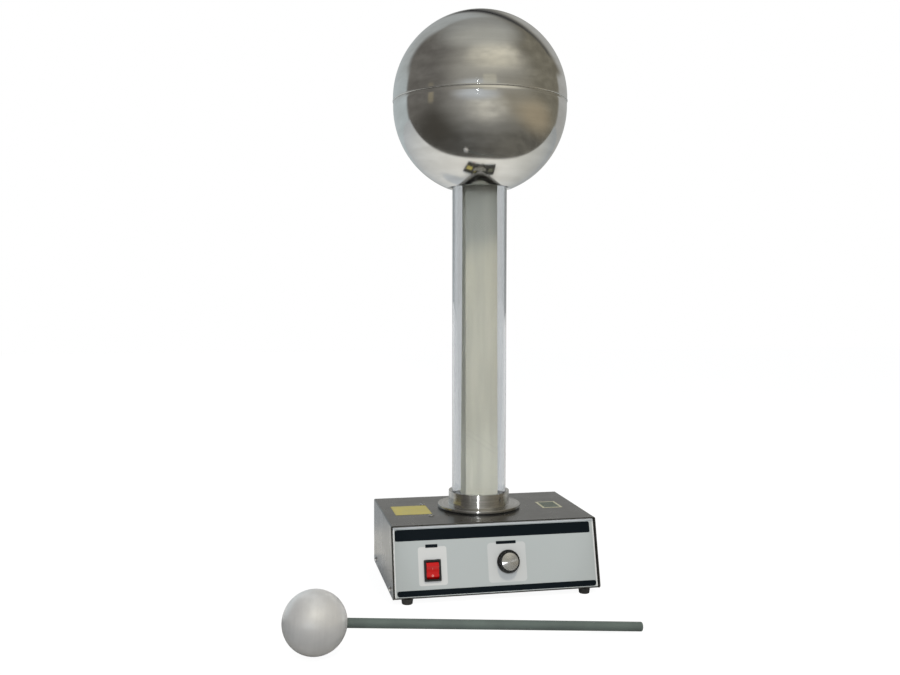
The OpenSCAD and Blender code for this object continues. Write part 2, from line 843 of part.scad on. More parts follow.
module inlet_pins() {
    color("gold") on_rear(inlet_x, inlet_z) translate([0, -recess_lift, inlet_t - recess_d]) {
        for (x = [-pin_x, pin_x])
            translate([x - pin_w / 2, 2 - pin_h / 2, 0]) cube([pin_w, pin_h, pin_l]);
        translate([-pin_w / 2, -2 - pin_h / 2, 0]) cube([pin_w, pin_h, pin_l]);
    }
}

module inlet_screws() {
    color("silver") on_rear(inlet_x, inlet_z) for (x = [-inlet_screw_x, inlet_screw_x])
        translate([x, 0, inlet_t]) pan_screw(small_screw_r, small_screw_r * 1.9, 1.8, inlet_t + sheet_t + 3);
}

// Sliding drawer with a tray for the fuse and a finger rib across its face
module fuse_drawer() {
    color("#282828") on_rear(inlet_x, inlet_z) translate([0, drawer_drop, inlet_t]) {
        difference() {
            translate([0, 0, -drawer_d]) linear_extrude(drawer_d) square([drawer_w, drawer_h], center = true);
            translate([-drawer_w / 2 + 1.5, -drawer_h / 2 + 1.5, -drawer_d + 1.5])
                cube([drawer_w - 3, drawer_h, drawer_d - 4]);
        }
        linear_extrude(drawer_face_t) square([drawer_w + 1.5, drawer_h + 1.5], center = true);
        translate([-drawer_w / 4, -0.8, drawer_face_t]) cube([drawer_w / 2, 1.6, 1]);
    }
}

// Insulated socket for the wand's earth lead
module earth_socket() {
    color("#1f7a3a") on_rear(earth_x, earth_z) difference() {
        union() {
            rotate_extrude() polygon([
                [0, 0], [earth_flange_r, 0], [earth_flange_r, 2], [earth_flange_r - 1, 3], [0, 3]
            ]);
            translate([0, 0, -earth_bore_l]) cylinder(h = earth_bore_l + eps, r = earth_body_r);
            translate([0, 0, -sheet_t - 4]) cylinder(h = 4, r = earth_flange_r, $fn = 6);
        }
        translate([0, 0, 3 - earth_bore_l]) cylinder(h = earth_bore_l + eps, r = earth_bore_r);
    }
}

module rubber_feet() {
    color("#181818") foot_places() rotate_extrude() difference() {
        polygon([
            [0, 0], [foot_r - foot_taper - 0.6, 0], [foot_r - foot_taper, 0.6], [foot_r, foot_h], [0, foot_h]
        ]);
        square([foot_bore_r, foot_bore_h]);
        square([screw_r + hole_fit, foot_h]);
    }
}

module foot_screws() {
    l = foot_h - foot_bore_h + sheet_t + nut_h + 1;
    color("silver") foot_places() translate([0, 0, foot_bore_h]) mirror([0, 0, 1])
        socket_screw(screw_r, screw_head_r, screw_head_h, l);
}

module foot_nuts() {
    color("silver") foot_places() translate([0, 0, floor_z]) hex_nut(screw_r, screw_r * 2, nut_h);
}

// Angle that hangs from the cover and carries the motor
module motor_bracket() {
    color("gray") difference() {
        union() {
            translate([-bracket_x - bracket_foot, bracket_foot_y[0], bracket_foot_z])
                cube([bracket_foot, bracket_foot_y[1] - bracket_foot_y[0], bracket_t]);
            translate([motor_face_x, 0, lower_axis_z]) rotate([90, 0, 90]) linear_extrude(bracket_t)
                rounded_polygon(
                    [
                        [-bracket_w / 2, -motor_r], [bracket_w / 2, -motor_r],
                        [bracket_w / 2, under_z - lower_axis_z], [-bracket_w / 2, under_z - lower_axis_z]
                    ],
                    [10, 10, 0, 0]
                );
        }
        translate([0, 0, lower_axis_z]) bar_x(motor_face_x - eps, bracket_t + 2 * eps, motor_boss_r);
        for (y = [-motor_screw_r, motor_screw_r])
            translate([0, y, lower_axis_z]) bar_x(motor_face_x - eps, bracket_t + 2 * eps, small_screw_r + hole_fit);
        bracket_screw_places() translate([0, 0, -sheet_t - bracket_t - eps])
            cylinder(h = bracket_t + sheet_t, r = screw_r);
    }
}

module bracket_screws() {
    color("silver") bracket_screw_places()
        rotate([0, 0, 25]) pan_screw(screw_r, screw_head_r, screw_head_h, sheet_t + bracket_t + 2);
}

// Motor can with its front boss, end bell, flats for the brushes and two brush caps
module motor_housing() {
    x0 = motor_face_x - motor_l;
    color("#505560") translate([0, 0, lower_axis_z]) difference() {
        union() {
            bar_x(x0 + 3, motor_l - 3, motor_r);
            bar_x(x0, 4, motor_r - 3);
            bar_x(motor_face_x - eps, bracket_t + eps, motor_boss_r);
            bar_x(x0 - 3, 4, motor_boss_r);
            for (side = [-1, 1])
                translate([x0 + 14, side * (motor_r + 2), 0]) rotate([side * 90, 0, 0])
                    cylinder(h = 8, r = 4.5, center = true);
        }
        bar_x(x0 + 6, motor_l + bracket_t, motor_shaft_r + run_fit);
        for (y = [-motor_screw_r, motor_screw_r])
            translate([0, y, 0]) bar_x(motor_face_x - 5, 5 + eps, small_screw_r);
        for (a = [30:60:330])
            rotate([a, 0, 0]) translate([x0 + 26, motor_r - 2, -3]) cube([22, 4, 6]);
    }
}

module motor_screws() {
    color("silver") for (y = [-motor_screw_r, motor_screw_r])
        translate([-bracket_x, y, lower_axis_z]) rotate([0, 90, 0])
            pan_screw(small_screw_r, small_screw_r * 1.9, 1.8, bracket_t + 5);
}

module motor_shaft() {
    color("silver") translate([0, 0, lower_axis_z])
        bar_x(motor_face_x - motor_l + 7, -motor_face_x + motor_l - 7 + coupling_split - 0.5, motor_shaft_r);
}

// Sleeve that joins the motor's shaft to the driven axle
module shaft_coupling() {
    color("darkgray") translate([0, 0, lower_axis_z]) difference() {
        bar_x(coupling_x - coupling_l, coupling_l, coupling_r);
        bar_x(coupling_x - coupling_l - eps, coupling_l, motor_shaft_r);
        bar_x(coupling_split, coupling_l, lower_axle_r);
        for (x = [0.25, 0.75])
            translate([coupling_x - coupling_l * x, 0, 0]) cylinder(h = coupling_r + eps, r = small_screw_r);
    }
}

module coupling_screws() {
    color("#303030") translate([coupling_x, 0, lower_axis_z]) {
        translate([-coupling_l * 0.25, 0, lower_axle_r])
            cylinder(h = coupling_r - lower_axle_r - 0.3, r = small_screw_r);
        translate([-coupling_l * 0.75, 0, motor_shaft_r])
            cylinder(h = coupling_r - motor_shaft_r - 0.3, r = small_screw_r);
    }
}

// Driven axle, with a groove and clip outside the right bearing
module lower_axle() {
    color("silver") translate([0, 0, lower_axis_z]) {
        bar_x(coupling_split + 0.5, axle_end_x - coupling_split - 0.5, lower_axle_r);
        bar_x(yoke_out + 0.4, 1, lower_axle_r + 2);
    }
}

// A roller along X, drawn about its own middle, whose ends taper down from a crowned middle third
module crowned_roller(r, l, bore) {
    rotate([0, 90, 0]) rotate_extrude() polygon([
        [bore, -l / 2], [r - roller_crown, -l / 2], [r, -l / 6],
        [r, l / 6], [r - roller_crown, l / 2], [bore, l / 2]
    ]);
}

module lower_roller() {
    color("#e8e4da") translate([0, 0, lower_axis_z])
        crowned_roller(lower_roller_r, lower_roller_l, lower_axle_r);
}

// Ball bearing along +X: two races with a recessed shield between them
module bearing(x, w, outer, inner) {
    shield = (outer - inner) * 0.28;
    translate([x, 0, 0]) rotate([0, 90, 0]) rotate_extrude() difference() {
        translate([inner, 0]) square([outer - inner, w]);
        translate([inner + shield, -eps]) square([outer - inner - 2 * shield, eps + 0.4]);
        translate([inner + shield, w - 0.4]) square([outer - inner - 2 * shield, eps + 0.4]);
    }
}

module lower_bearings() {
    color("lightsteelblue") translate([0, 0, lower_axis_z]) {
        bearing(yoke_out - bearing_w, bearing_w, bearing_r, lower_axle_r + run_fit);
        bearing(-yoke_out, bearing_w, bearing_r, lower_axle_r + run_fit);
    }
}

// Plate that hangs from the cover and holds one bearing of the lower roller
module yoke_plate() {
    color("#9a9ca0") difference() {
        union() {
            translate([yoke_x, 0, 0]) rotate([90, 0, 90]) linear_extrude(yoke_t) rounded_polygon(
                [[-yoke_w / 2, yoke_drop], [yoke_w / 2, yoke_drop], [yoke_w / 2, under_z], [-yoke_w / 2, under_z]],
                [12, 12, 0, 0]
            );
            translate([yoke_x, -yoke_foot_w / 2, under_z - yoke_foot_t])
                cube([yoke_foot_x - yoke_x, yoke_foot_w, yoke_foot_t]);
        }
        translate([0, 0, lower_axis_z]) {
            bar_x(yoke_out - bearing_w, bearing_w + eps, bearing_r);
            bar_x(yoke_x - eps, yoke_t, bearing_lip_r);
        }
        translate([0, 0, under_z - yoke_foot_t - eps]) flange_screw_places()
            cylinder(h = yoke_foot_t + 2 * eps, r = screw_r + hole_fit);
    }
}

module yoke_right() {
    yoke_plate();
}

module yoke_left() {
    mirror([1, 0, 0]) yoke_plate();
}

// Screws up through the plates, the cover and the gasket into the flange
module flange_screws() {
    l = yoke_foot_t + sheet_t + gasket_t + flange_screw_bite;
    color("silver") translate([0, 0, under_z - yoke_foot_t]) flange_screw_places()
        mirror([0, 0, 1]) socket_screw(screw_r, screw_head_r - 0.5, screw_head_h, l);
}

module flange_gasket() {
    color("#202020") translate([0, 0, gasket_z]) difference() {
        cylinder(h = gasket_t, r = disc_r - 1);
        translate([0, 0, -eps]) cylinder(h = gasket_t + 2 * eps, r = hole_r);
        translate([0, 0, -eps]) flange_screw_places() cylinder(h = gasket_t + 2 * eps, r = screw_r + hole_fit);
    }
}

// Turned flange: disc, collar and the step that the tube stands on
module column_flange() {
    color("gainsboro") difference() {
        rotate_extrude() difference() {
            polygon([
                [hole_r, disc_z], [disc_r - 0.4, disc_z], [disc_r, disc_z + 0.4],
                [disc_r, disc_top - 0.8], [disc_r - 0.8, disc_top], [collar_r + 1, disc_top],
                [collar_r, disc_top + 1], [collar_r, collar_top - 0.8], [collar_r - 0.8, collar_top],
                [tube_r + 0.6, collar_top], [tube_r, collar_top - 0.6], [tube_r, tube_z], [hole_r, tube_z]
            ]);
        }
        translate([0, 0, disc_z - eps]) flange_screw_places() cylinder(h = flange_screw_bite + eps, r = screw_r);
        for (a = grub_angles)
            rotate([0, 0, a - 90]) translate([0, 0, grub_z]) bar_x(tube_r - eps, collar_r - tube_r + 2 * eps, grub_r);
    }
}

module grub_screws() {
    color("#404040") for (a = grub_angles)
        rotate([0, 0, a - 90]) translate([0, 0, grub_z]) difference() {
            bar_x(tube_r, collar_r - tube_r - 0.4, grub_r);
            bar_x(collar_r - 2.5, 3, grub_r * 0.55, 6);
        }
}

module column_tube() {
    color("lightgray", 0.4) translate([0, 0, tube_z]) difference() {
        cylinder(h = tube_l, r = tube_r);
        translate([0, 0, -eps]) cylinder(h = tube_l + 2 * eps, r = tube_in);
    }
}

// Outline of a belt round both rollers, grown by t from its inner face
module belt_outline(t) {
    r1 = lower_wrap + t;
    r2 = upper_wrap + t;
    a = asin((r1 - r2) / run_l);
    translate([0, lower_axis_z]) {
        circle(r1);
        translate([0, run_l]) circle(r2);
        polygon([
            [r1 * cos(a), r1 * sin(a)], [r2 * cos(a), run_l + r2 * sin(a)],
            [-r2 * cos(a), run_l + r2 * sin(a)], [-r1 * cos(a), r1 * sin(a)]
        ]);
    }
}

module belt() {
    color("#d9d6c4") across(belt_w) difference() {
        belt_outline(belt_t);
        belt_outline(0);
    }
}

// Angle on the tray's floor that holds the lower comb by the belt
module comb_bracket() {
    color("silver") {
        translate([-belt_w / 2, -comb_foot, floor_z]) cube([belt_w, comb_foot + comb_t, comb_bracket_t]);
        translate([-belt_w / 2, -comb_bracket_t, floor_z + comb_bracket_t])
            cube([belt_w, comb_bracket_t, lower_comb_z - comb_tooth - 2 - floor_z - comb_bracket_t]);
        for (x = [-14, 14]) translate([x, -comb_foot / 2 - 1, floor_z + comb_bracket_t])
            cylinder(h = 2, r = 3);
    }
}

// Row of points along X that ends at z = 0, with its strip below it
module comb_strip(h) {
    count = floor(belt_w / comb_pitch) - 1;
    rotate([90, 0, 0]) mirror([0, 0, 1]) linear_extrude(comb_t) polygon(concat(
        [[-belt_w / 2, -h], [belt_w / 2, -h], [belt_w / 2, -comb_tooth]],
        [for (i = [0:2 * count]) [(count - i) * comb_pitch / 2, i % 2 == 0 ? -comb_tooth : 0]],
        [[-belt_w / 2, -comb_tooth]]
    ));
}

module lower_comb() {
    color("peru") translate([0, 0, lower_comb_z]) comb_strip(comb_plate);
}

// Ring on the tube's end with two cheeks that carry the upper axle
module upper_yoke() {
    color("#303030") difference() {
        union() {
            translate([0, 0, tube_top]) cylinder(h = ring_t, r = tube_r);
            translate([0, 0, tube_top - spigot_h]) cylinder(h = spigot_h + eps, r = tube_in - spigot_fit);
            for (side = [-1, 1])
                translate([side * (cheek_x + cheek_t / 2) - cheek_t / 2, -cheek_w / 2, tube_top])
                    cube([cheek_t, cheek_w, bar_z - tube_top]);
        }
        translate([0, 0, tube_top - spigot_h - eps]) cylinder(h = spigot_h + ring_t + 2 * eps, r = ring_in - 1);
        translate([0, 0, upper_axis_z]) bar_x(-cheek_x - cheek_t - eps, 2 * (cheek_x + cheek_t + eps), upper_axle_r);
    }
}

module upper_axle() {
    l = 2 * (cheek_x + cheek_t + 2);
    color("silver") translate([0, 0, upper_axis_z]) difference() {
        bar_x(-l / 2, l, upper_axle_r);
        for (side = [-1, 1])
            translate([side * (l / 2 - 1) - 0.3, -2 * upper_axle_r, upper_axle_r * 0.8])
                cube([0.6, 4 * upper_axle_r, upper_axle_r]);
    }
}

module upper_roller() {
    color("#e8e4da") translate([0, 0, upper_axis_z]) difference() {
        crowned_roller(upper_roller_r, upper_roller_l, upper_axle_r + 1);
        for (side = [-1, 1])
            translate([side * (upper_roller_l - upper_bearing_w) / 2, 0, 0])
                bar_x(side < 0 ? -upper_bearing_w / 2 - eps : -upper_bearing_w / 2, upper_bearing_w + eps, upper_bearing_r);
    }
}

module upper_bearings() {
    color("lightsteelblue") translate([0, 0, upper_axis_z]) {
        bearing(upper_roller_l / 2 - upper_bearing_w, upper_bearing_w, upper_bearing_r, upper_axle_r + run_fit);
        bearing(-upper_roller_l / 2, upper_bearing_w, upper_bearing_r, upper_axle_r + run_fit);
    }
}

// Bar across the cheeks, with the two screws that hold it
module comb_bar() {
    color("#b08d57") {
        translate([-cheek_x - cheek_t, -bar_w / 2, bar_z]) cube([2 * (cheek_x + cheek_t), bar_w, bar_t]);
        for (side = [-1, 1]) translate([side * (cheek_x + cheek_t / 2), 0, bar_z + bar_t])
            cylinder(h = 2, r = 2.5);
    }
}

module upper_comb() {
    color("peru") translate([0, 0, upper_comb_z]) mirror([0, 0, 1]) comb_strip(comb_plate);
}

// Spring strip from the end of the comb's bar, out past the axle and the tube, and down to the neck's lip
module collector_strap() {
    x0 = cheek_x + cheek_t;
    x1 = tube_r + strap_gap;
    z0 = neck_top;
    z1 = bar_z - x1 + x0;
    color("#b08d57") translate([0, strap_w / 2, 0]) rotate([90, 0, 0]) linear_extrude(strap_w) polygon([
        [x0, bar_z + bar_t], [x0, bar_z], [x1, z1], [x1, z0], [x1 + strap_foot, z0],
        [x1 + strap_foot, z0 + strap_t], [x1 + strap_t, z0 + strap_t], [x1 + strap_t, z1 + strap_t / 2],
        [x0 + strap_t, bar_z + strap_t / 2], [x0 + strap_t, bar_z + bar_t]
    ]);
}

// Ring fixed round the tube, under the lip of the dome's neck
module neck_bush() {
    color("#151515") difference() {
        translate([0, 0, bush_z]) cylinder(h = bush_top_z - bush_z, r = neck_r);
        translate([0, 0, bush_z - eps]) cylinder(h = bush_top_z - bush_z + 2 * eps, r = tube_r);
        for (a = neck_screw_angles)
            rotate([0, 0, a]) translate([0, 0, neck_screw_z]) bar_x(tube_r - eps, neck_r, small_screw_r);
    }
}

module neck_screws() {
    color("silver") for (a = neck_screw_angles)
        rotate([0, 0, a]) translate([neck_wall_r, 0, neck_screw_z]) rotate([0, 90, 0])
            socket_screw(small_screw_r, small_screw_r * 2, 2.4, neck_wall_r - tube_r - 0.2);
}

// Filled half section of the lower half with its rolled edge, shrunk by t on the metal's side.
// The bowl's circle counts only outside the radial line through the rolled edge's centre.
module bowl_region(t) {
    far = 2 * dome_r;
    intersection() {
        translate([0, lower_centre_z]) circle(dome_r - t);
        polygon([
            [0, lower_centre_z], [roll_dir[0] * far, lower_centre_z + roll_dir[1] * far],
            [far, lower_centre_z - far], [far, lower_centre_z]
        ]);
        translate([neck_r + t, 0]) square([far, lower_centre_z]);
    }
    translate([roll_x, roll_z]) circle(neck_roll_r - t);
    translate([neck_r + t, roll_z]) square([roll_x - neck_r, neck_h]);
    translate([neck_r + t, lower_centre_z]) square([dome_r - neck_r - 2 * t, lower_rim]);
}

// Section of the lower half: joggled lip, straight rim, bowl, rolled edge, neck and inner lip
module dome_lower_section() {
    difference() {
        bowl_region(0);
        bowl_region(dome_t);
        translate([0, neck_top]) square([neck_wall_r, dome_r]);
    }
    translate([neck_lip_r, neck_top - dome_t]) square([neck_wall_r - neck_lip_r, dome_t]);
    translate([lip_r - dome_t, seam_z - dome_t]) square([dome_r - lip_r + dome_t, dome_t]);
    translate([lip_r - dome_t, seam_z - dome_t]) square([dome_t, dome_t + lip_h]);
}

module dome_lower() {
    color("#c8c8c4") difference() {
        rotate_extrude() dome_lower_section();
        for (a = neck_screw_angles)
            rotate([0, 0, a]) translate([0, 0, neck_screw_z]) bar_x(neck_r - eps, 2 * eps + dome_t, small_screw_r);
    }
}

// The upper half, which stands on the joggle and lifts off
module dome_upper() {
    color("#c8c8c4") rotate_extrude() difference() {
        union() {
            intersection() {
                translate([0, upper_centre_z]) circle(upper_dome_r);
                translate([0, upper_centre_z]) square(2 * dome_r);
            }
            translate([0, seam_z]) square([upper_dome_r, upper_rim]);
            translate([upper_dome_r - bead_r / 2, seam_z + bead_r]) circle(bead_r);
        }
        intersection() {
            translate([0, upper_centre_z]) circle(upper_dome_r - dome_t);
            translate([0, upper_centre_z]) square(2 * dome_r);
        }
        translate([0, seam_z - eps]) square([upper_dome_r - dome_t, upper_rim + eps]);
    }
}

module yellow_sticker() {
    color("#d8c84a") translate([large_sticker_at[0], large_sticker_at[1], top_z])
        linear_extrude(sticker_t) rounded_square(large_sticker_w, large_sticker_d, 1);
}

module small_sticker() {
    color("#6f7a68") translate([small_sticker_at[0], small_sticker_at[1], top_z])
        linear_extrude(sticker_t) rounded_square(small_sticker_w, small_sticker_d, 1);
}

// A place on the wand: +X runs down the rod from the ball's centre
module on_wand() {
    translate([ball_x, -wand_setback, ball_r]) rotate([0, wand_tilt, 0]) children();
}

// Spun hollow ball with a conical dimple for the rod
module wand_ball() {
    reach = 3 * dimple_d;
    inner_apex = dimple_apex - ball_t / sin(dimple_half);
    color("#d0d0d0") on_wand() rotate([0, 90, 0]) rotate_extrude() difference() {
        intersection() {
            circle(ball_r);
            translate([0, -ball_r]) square([ball_r, 2 * ball_r]);
        }
        polygon([[0, dimple_apex], [reach * tan(dimple_half), dimple_apex + reach], [0, dimple_apex + reach]]);
        difference() {
            circle(ball_r - ball_t);
            polygon([[0, inner_apex], [reach * tan(dimple_half), inner_apex + reach], [0, inner_apex + reach]]);
        }
        square([stud_r, ball_r]);
    }
}

// Threaded stud with the nut that clamps the ball from inside
module wand_stud() {
    x0 = dimple_apex - 6;
    color("silver") on_wand() bar_x(x0, rod_start + rod_bore_l - x0, stud_r);
}

module wand_nut() {
    seat = dimple_apex + (stud_r + 1.6) / tan(dimple_half);
    color("gainsboro") on_wand() translate([seat, 0, 0]) rotate([0, 90, 0])
        difference() {
            intersection() {
                cylinder(h = rod_start - seat, r = stud_r + 2.4, $fn = 6);
                cylinder(h = rod_start - seat, r1 = stud_r + 1.6, r2 = stud_r + 1.6 + rod_start - seat);
            }
            translate([0, 0, -eps]) cylinder(h = rod_start, r = stud_r);
        }
}

// Insulating rod with a rounded far end, bored for the stud
module wand_rod() {
    color("#56605c") on_wand() rotate([0, 90, 0]) rotate_extrude() difference() {
        rounded_polygon(
            [[0, rod_start], [rod_r, rod_start], [rod_r, wand_l], [0, wand_l]],
            [0, 0, rod_round, 0]
        );
        translate([0, rod_start - eps]) square([stud_r, rod_bore_l + eps]);
    }
}

base_tray();
top_cover();
cover_screws();
front_overlay();
switch_housing();
switch_rocker();
potentiometer();
potentiometer_nut();
control_shaft();
speed_knob();
knob_cap();
control_board();
board_parts();
heatsink();
board_standoffs();
power_inlet();
inlet_pins();
inlet_screws();
fuse_drawer();
earth_socket();
rubber_feet();
foot_screws();
foot_nuts();
motor_bracket();
bracket_screws();
motor_housing();
motor_screws();
motor_shaft();
shaft_coupling();
coupling_screws();
lower_axle();
lower_roller();
lower_bearings();
yoke_left();
yoke_right();
flange_screws();
flange_gasket();
column_flange();
grub_screws();
column_tube();
belt();
comb_bracket();
lower_comb();
upper_yoke();
upper_axle();
upper_roller();
upper_bearings();
comb_bar();
upper_comb();
collector_strap();
neck_bush();
neck_screws();
dome_lower();
dome_upper();
yellow_sticker();
small_sticker();
wand_ball();
wand_stud();
wand_nut();
wand_rod();
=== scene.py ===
"""Looks of the belt-driven static generator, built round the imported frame.

Each sub-assembly is a class with its sizes in millimetres. Meshes are made in place, in metres, in the
frame's own coordinates, where the column's axis is the Z axis and the table is at z = 0.
"""

from __future__ import annotations

import json
import logging
import math
from collections.abc import Callable, Iterable, Sequence
from dataclasses import dataclass
from enum import Enum

import bmesh
import bpy
from mathutils import Matrix, Vector

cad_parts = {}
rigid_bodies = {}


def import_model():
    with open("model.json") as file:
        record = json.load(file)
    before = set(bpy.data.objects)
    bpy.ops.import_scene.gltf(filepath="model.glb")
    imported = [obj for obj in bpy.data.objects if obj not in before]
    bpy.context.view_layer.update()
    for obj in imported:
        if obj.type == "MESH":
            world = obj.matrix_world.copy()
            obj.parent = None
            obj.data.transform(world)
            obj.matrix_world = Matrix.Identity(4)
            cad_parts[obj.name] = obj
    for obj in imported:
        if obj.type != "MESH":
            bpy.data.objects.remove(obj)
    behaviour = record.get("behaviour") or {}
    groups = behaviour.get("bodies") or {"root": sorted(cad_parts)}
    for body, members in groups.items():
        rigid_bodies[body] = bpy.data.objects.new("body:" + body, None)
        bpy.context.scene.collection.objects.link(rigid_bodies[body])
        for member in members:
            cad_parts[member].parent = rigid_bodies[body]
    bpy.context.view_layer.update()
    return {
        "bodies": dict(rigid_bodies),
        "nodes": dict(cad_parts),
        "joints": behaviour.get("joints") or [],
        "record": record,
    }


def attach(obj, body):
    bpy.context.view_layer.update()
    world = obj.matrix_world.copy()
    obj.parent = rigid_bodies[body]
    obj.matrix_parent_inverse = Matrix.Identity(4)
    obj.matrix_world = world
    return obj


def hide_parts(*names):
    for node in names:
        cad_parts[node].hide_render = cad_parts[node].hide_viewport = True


LOG = logging.getLogger("generator")
MM = 0.001

# Points nearer than this to a lathe's axis, in millimetres, lie on it
ON_AXIS = 1e-6
# Points of a CAD mesh nearer than this, in metres, are one, and faces that turn by less than this angle are flat
MERGE = 2e-6
FLAT = math.radians(0.4)

Rgb = tuple[float, float, float]
Point = tuple[float, float]
Socket = bpy.types.NodeSocket

ORIGIN = (0.0, 0.0, 0.0)
WHITE = (1.0, 1.0, 1.0)
DUST_GREY = (0.36, 0.35, 0.33)
# The case's front edge (Y, Z), how far it leans back over its height, and how deep the panel sits behind it
FRONT_EDGE = (-128.0, 8.0)
FRONT_LEAN = (26.0, 98.0)
PANEL_DEPTH = 4.0
PANEL_LEAN = math.atan2(*FRONT_LEAN)
PANEL_UP = (0.0, math.sin(PANEL_LEAN), math.cos(PANEL_LEAN))
PANEL_FOOT = (0.0, FRONT_EDGE[0] + PANEL_DEPTH * PANEL_UP[2], FRONT_EDGE[1] - PANEL_DEPTH * PANEL_UP[1])


def rgba(colour: Rgb) -> tuple[float, float, float, float]:
    """The colour with full alpha, as a socket wants it."""
    return (*colour, 1.0)


class Wiring:
    """Adds nodes to a tree and links them, so that a finish reads as a list of steps."""

    def __init__(self, tree: bpy.types.NodeTree) -> None:
        self.tree = tree

    def put(self, kind: str, inputs: dict[str | int, object] | None = None, **settings: object) -> bpy.types.Node:
        """Adds a node.

        Args:
            kind: The node's type; a shader node is named without its prefix.
            inputs: Socket name or number, and the value or the socket that feeds it.
            **settings: The node's own properties.

        Returns:
            The new node.
        """
        whole = kind.startswith(("GeometryNode", "FunctionNode", "NodeGroup"))
        made = self.tree.nodes.new(kind if whole else f"ShaderNode{kind}")
        for name, value in settings.items():
            setattr(made, name, value)
        for key, value in (inputs or {}).items():
            if isinstance(value, bpy.types.NodeSocket):
                self.tree.links.new(value, made.inputs[key])
            else:
                made.inputs[key].default_value = value
        return made

    def math(self, operation: str, a: object, b: object = 0.0, c: object = 0.0) -> Socket:
        """One Math node's result."""
        return self.put("Math", {0: a, 1: b, 2: c}, operation=operation).outputs[0]

    def vector(self, operation: str, a: object, b: object = ORIGIN) -> Socket:
        """One Vector Math node's result, a number where the operation gives one."""
        result = "Value" if operation in ("LENGTH", "DOT_PRODUCT") else "Vector"
        return self.put("VectorMath", {0: a, 1: b}, operation=operation).outputs[result]

    def split(self, vector: Socket) -> bpy.types.NodeOutputs:
        """The three parts of a vector."""
        return self.put("SeparateXYZ", {0: vector}).outputs

    def noise(self, where: Socket, scale: object = 1.0, detail: float = 2.0, roughness: float = 0.5) -> Socket:
        """Noise from 0 to 1."""
        sizes = {"Vector": where, "Scale": scale, "Detail": detail, "Roughness": roughness}
        return self.put("TexNoise", sizes).outputs[0]

    def bump(self, surface: bpy.types.NodeInputs, height: Socket, distance: float,
             strength: float = 0.5) -> bpy.types.Node:
        """Raises a surface by a height.

        Args:
            surface: The shader's inputs.
            height: The height, from 0 to 1.
            distance: What a height of 1 raises, in metres.
            strength: How much of it shows.

        Returns:
            The Bump node.
        """
        made = self.put("Bump", {"Strength": strength, "Distance": distance, "Height": height})
        self.link(made.outputs[0], surface["Normal"])
        return made

    def step(self, value: object, low: object, high: object) -> Socket:
        """0 below low, 1 above high and smooth between them."""
        return self.put("MapRange", {0: value, 1: low, 2: high}, interpolation_type="SMOOTHSTEP").outputs[0]

    def drop(self, value: object, low: float, high: float) -> Socket:
        """1 below low, 0 above high and smooth between them."""
        return self.step(self.math("MULTIPLY", value, -1.0), -high, -low)

    def mix(self, share: object, a: object, b: object) -> Socket:
        """Colour a, turning to colour b as the share goes from 0 to 1."""
        colours = [rgba(c) if isinstance(c, tuple) else c for c in (a, b)]
        return self.put("Mix", {0: share, 6: colours[0], 7: colours[1]}, data_type="RGBA").outputs[2]

    def link(self, source: Socket, target: Socket) -> None:
        """Joins two sockets."""
        self.tree.links.new(source, target)

    def effect(self, kind: Effect, inputs: dict[str, object]) -> Socket:
        """Places one of the shared effects with this finish's own values, and gives its first output."""
        return self.put("Group", inputs, node_tree=kind.tree()).outputs[0]


class Effect(Enum):
    """The shader effects that more than one finish uses."""

    MOTTLE = "mottle"
    GRAIN = "grain"
    TURNED = "turned_lines"
    WORN_AND_HIGHLIGHT = "worn_and_highlit_edge"
    DUST = "settled_dust"
    PRINT = "printed_box"

    def tree(self) -> bpy.types.NodeTree:
        """The effect's node group, built the first time that it is asked for."""
        known = bpy.data.node_groups.get(self.value)
        if known:
            return known
        tree = bpy.data.node_groups.new(self.value, "ShaderNodeTree")
        EFFECT_BUILDERS[self](tree)
        return tree


def group_sockets(tree: bpy.types.NodeTree, inputs: dict[str, object],
                  outputs: Sequence[str]) -> tuple[Wiring, bpy.types.NodeOutputs, bpy.types.Node]:
    """Gives a node group its sockets.

    Args:
        tree: The group.
        inputs: Names of the inputs with their defaults; a tuple makes a vector.
        outputs: Names of the outputs, each a value.

    Returns:
        The wiring, the inputs' sockets by name, and the output node.
    """
    for name, value in inputs.items():
        kind = "NodeSocketVector" if isinstance(value, tuple) else "NodeSocketFloat"
        tree.interface.new_socket(name, in_out="INPUT", socket_type=kind).default_value = value
    for name in outputs:
        tree.interface.new_socket(name, in_out="OUTPUT", socket_type="NodeSocketFloat")
    wiring = Wiring(tree)
    return wiring, wiring.put("NodeGroupInput").outputs, wiring.put("NodeGroupOutput")


def build_mottle(tree: bpy.types.NodeTree) -> None:
    """Cloudy patches in several sizes, as a mask.

    Args:
        tree: The empty group that it fills.
    """
    w, given, out = group_sockets(tree, {"Vector": ORIGIN, "Scale": 20.0, "Low": 0.35, "High": 0.65}, ["Mask"])
    cloud = w.noise(given["Vector"], given["Scale"], 5.0, 0.6)
    w.link(w.step(cloud, given["Low"], given["High"]), out.inputs["Mask"])


def build_grain(tree: bpy.types.NodeTree) -> None:
    """Fine pebbled texture of paint or moulded plastic, as a height.

    Args:
        tree: The empty group that it fills.
    """
    w, given, out = group_sockets(tree, {"Vector": ORIGIN, "Scale": 900.0}, ["Height"])
    fine = w.noise(given["Vector"], given["Scale"], 3.0)
    coarse = w.put("TexVoronoi", {"Vector": given["Vector"], "Scale": w.math("MULTIPLY", given["Scale"], 0.6)})
    w.link(w.math("ADD", fine, w.math("MULTIPLY", coarse.outputs[0], 0.4)), out.inputs["Height"])


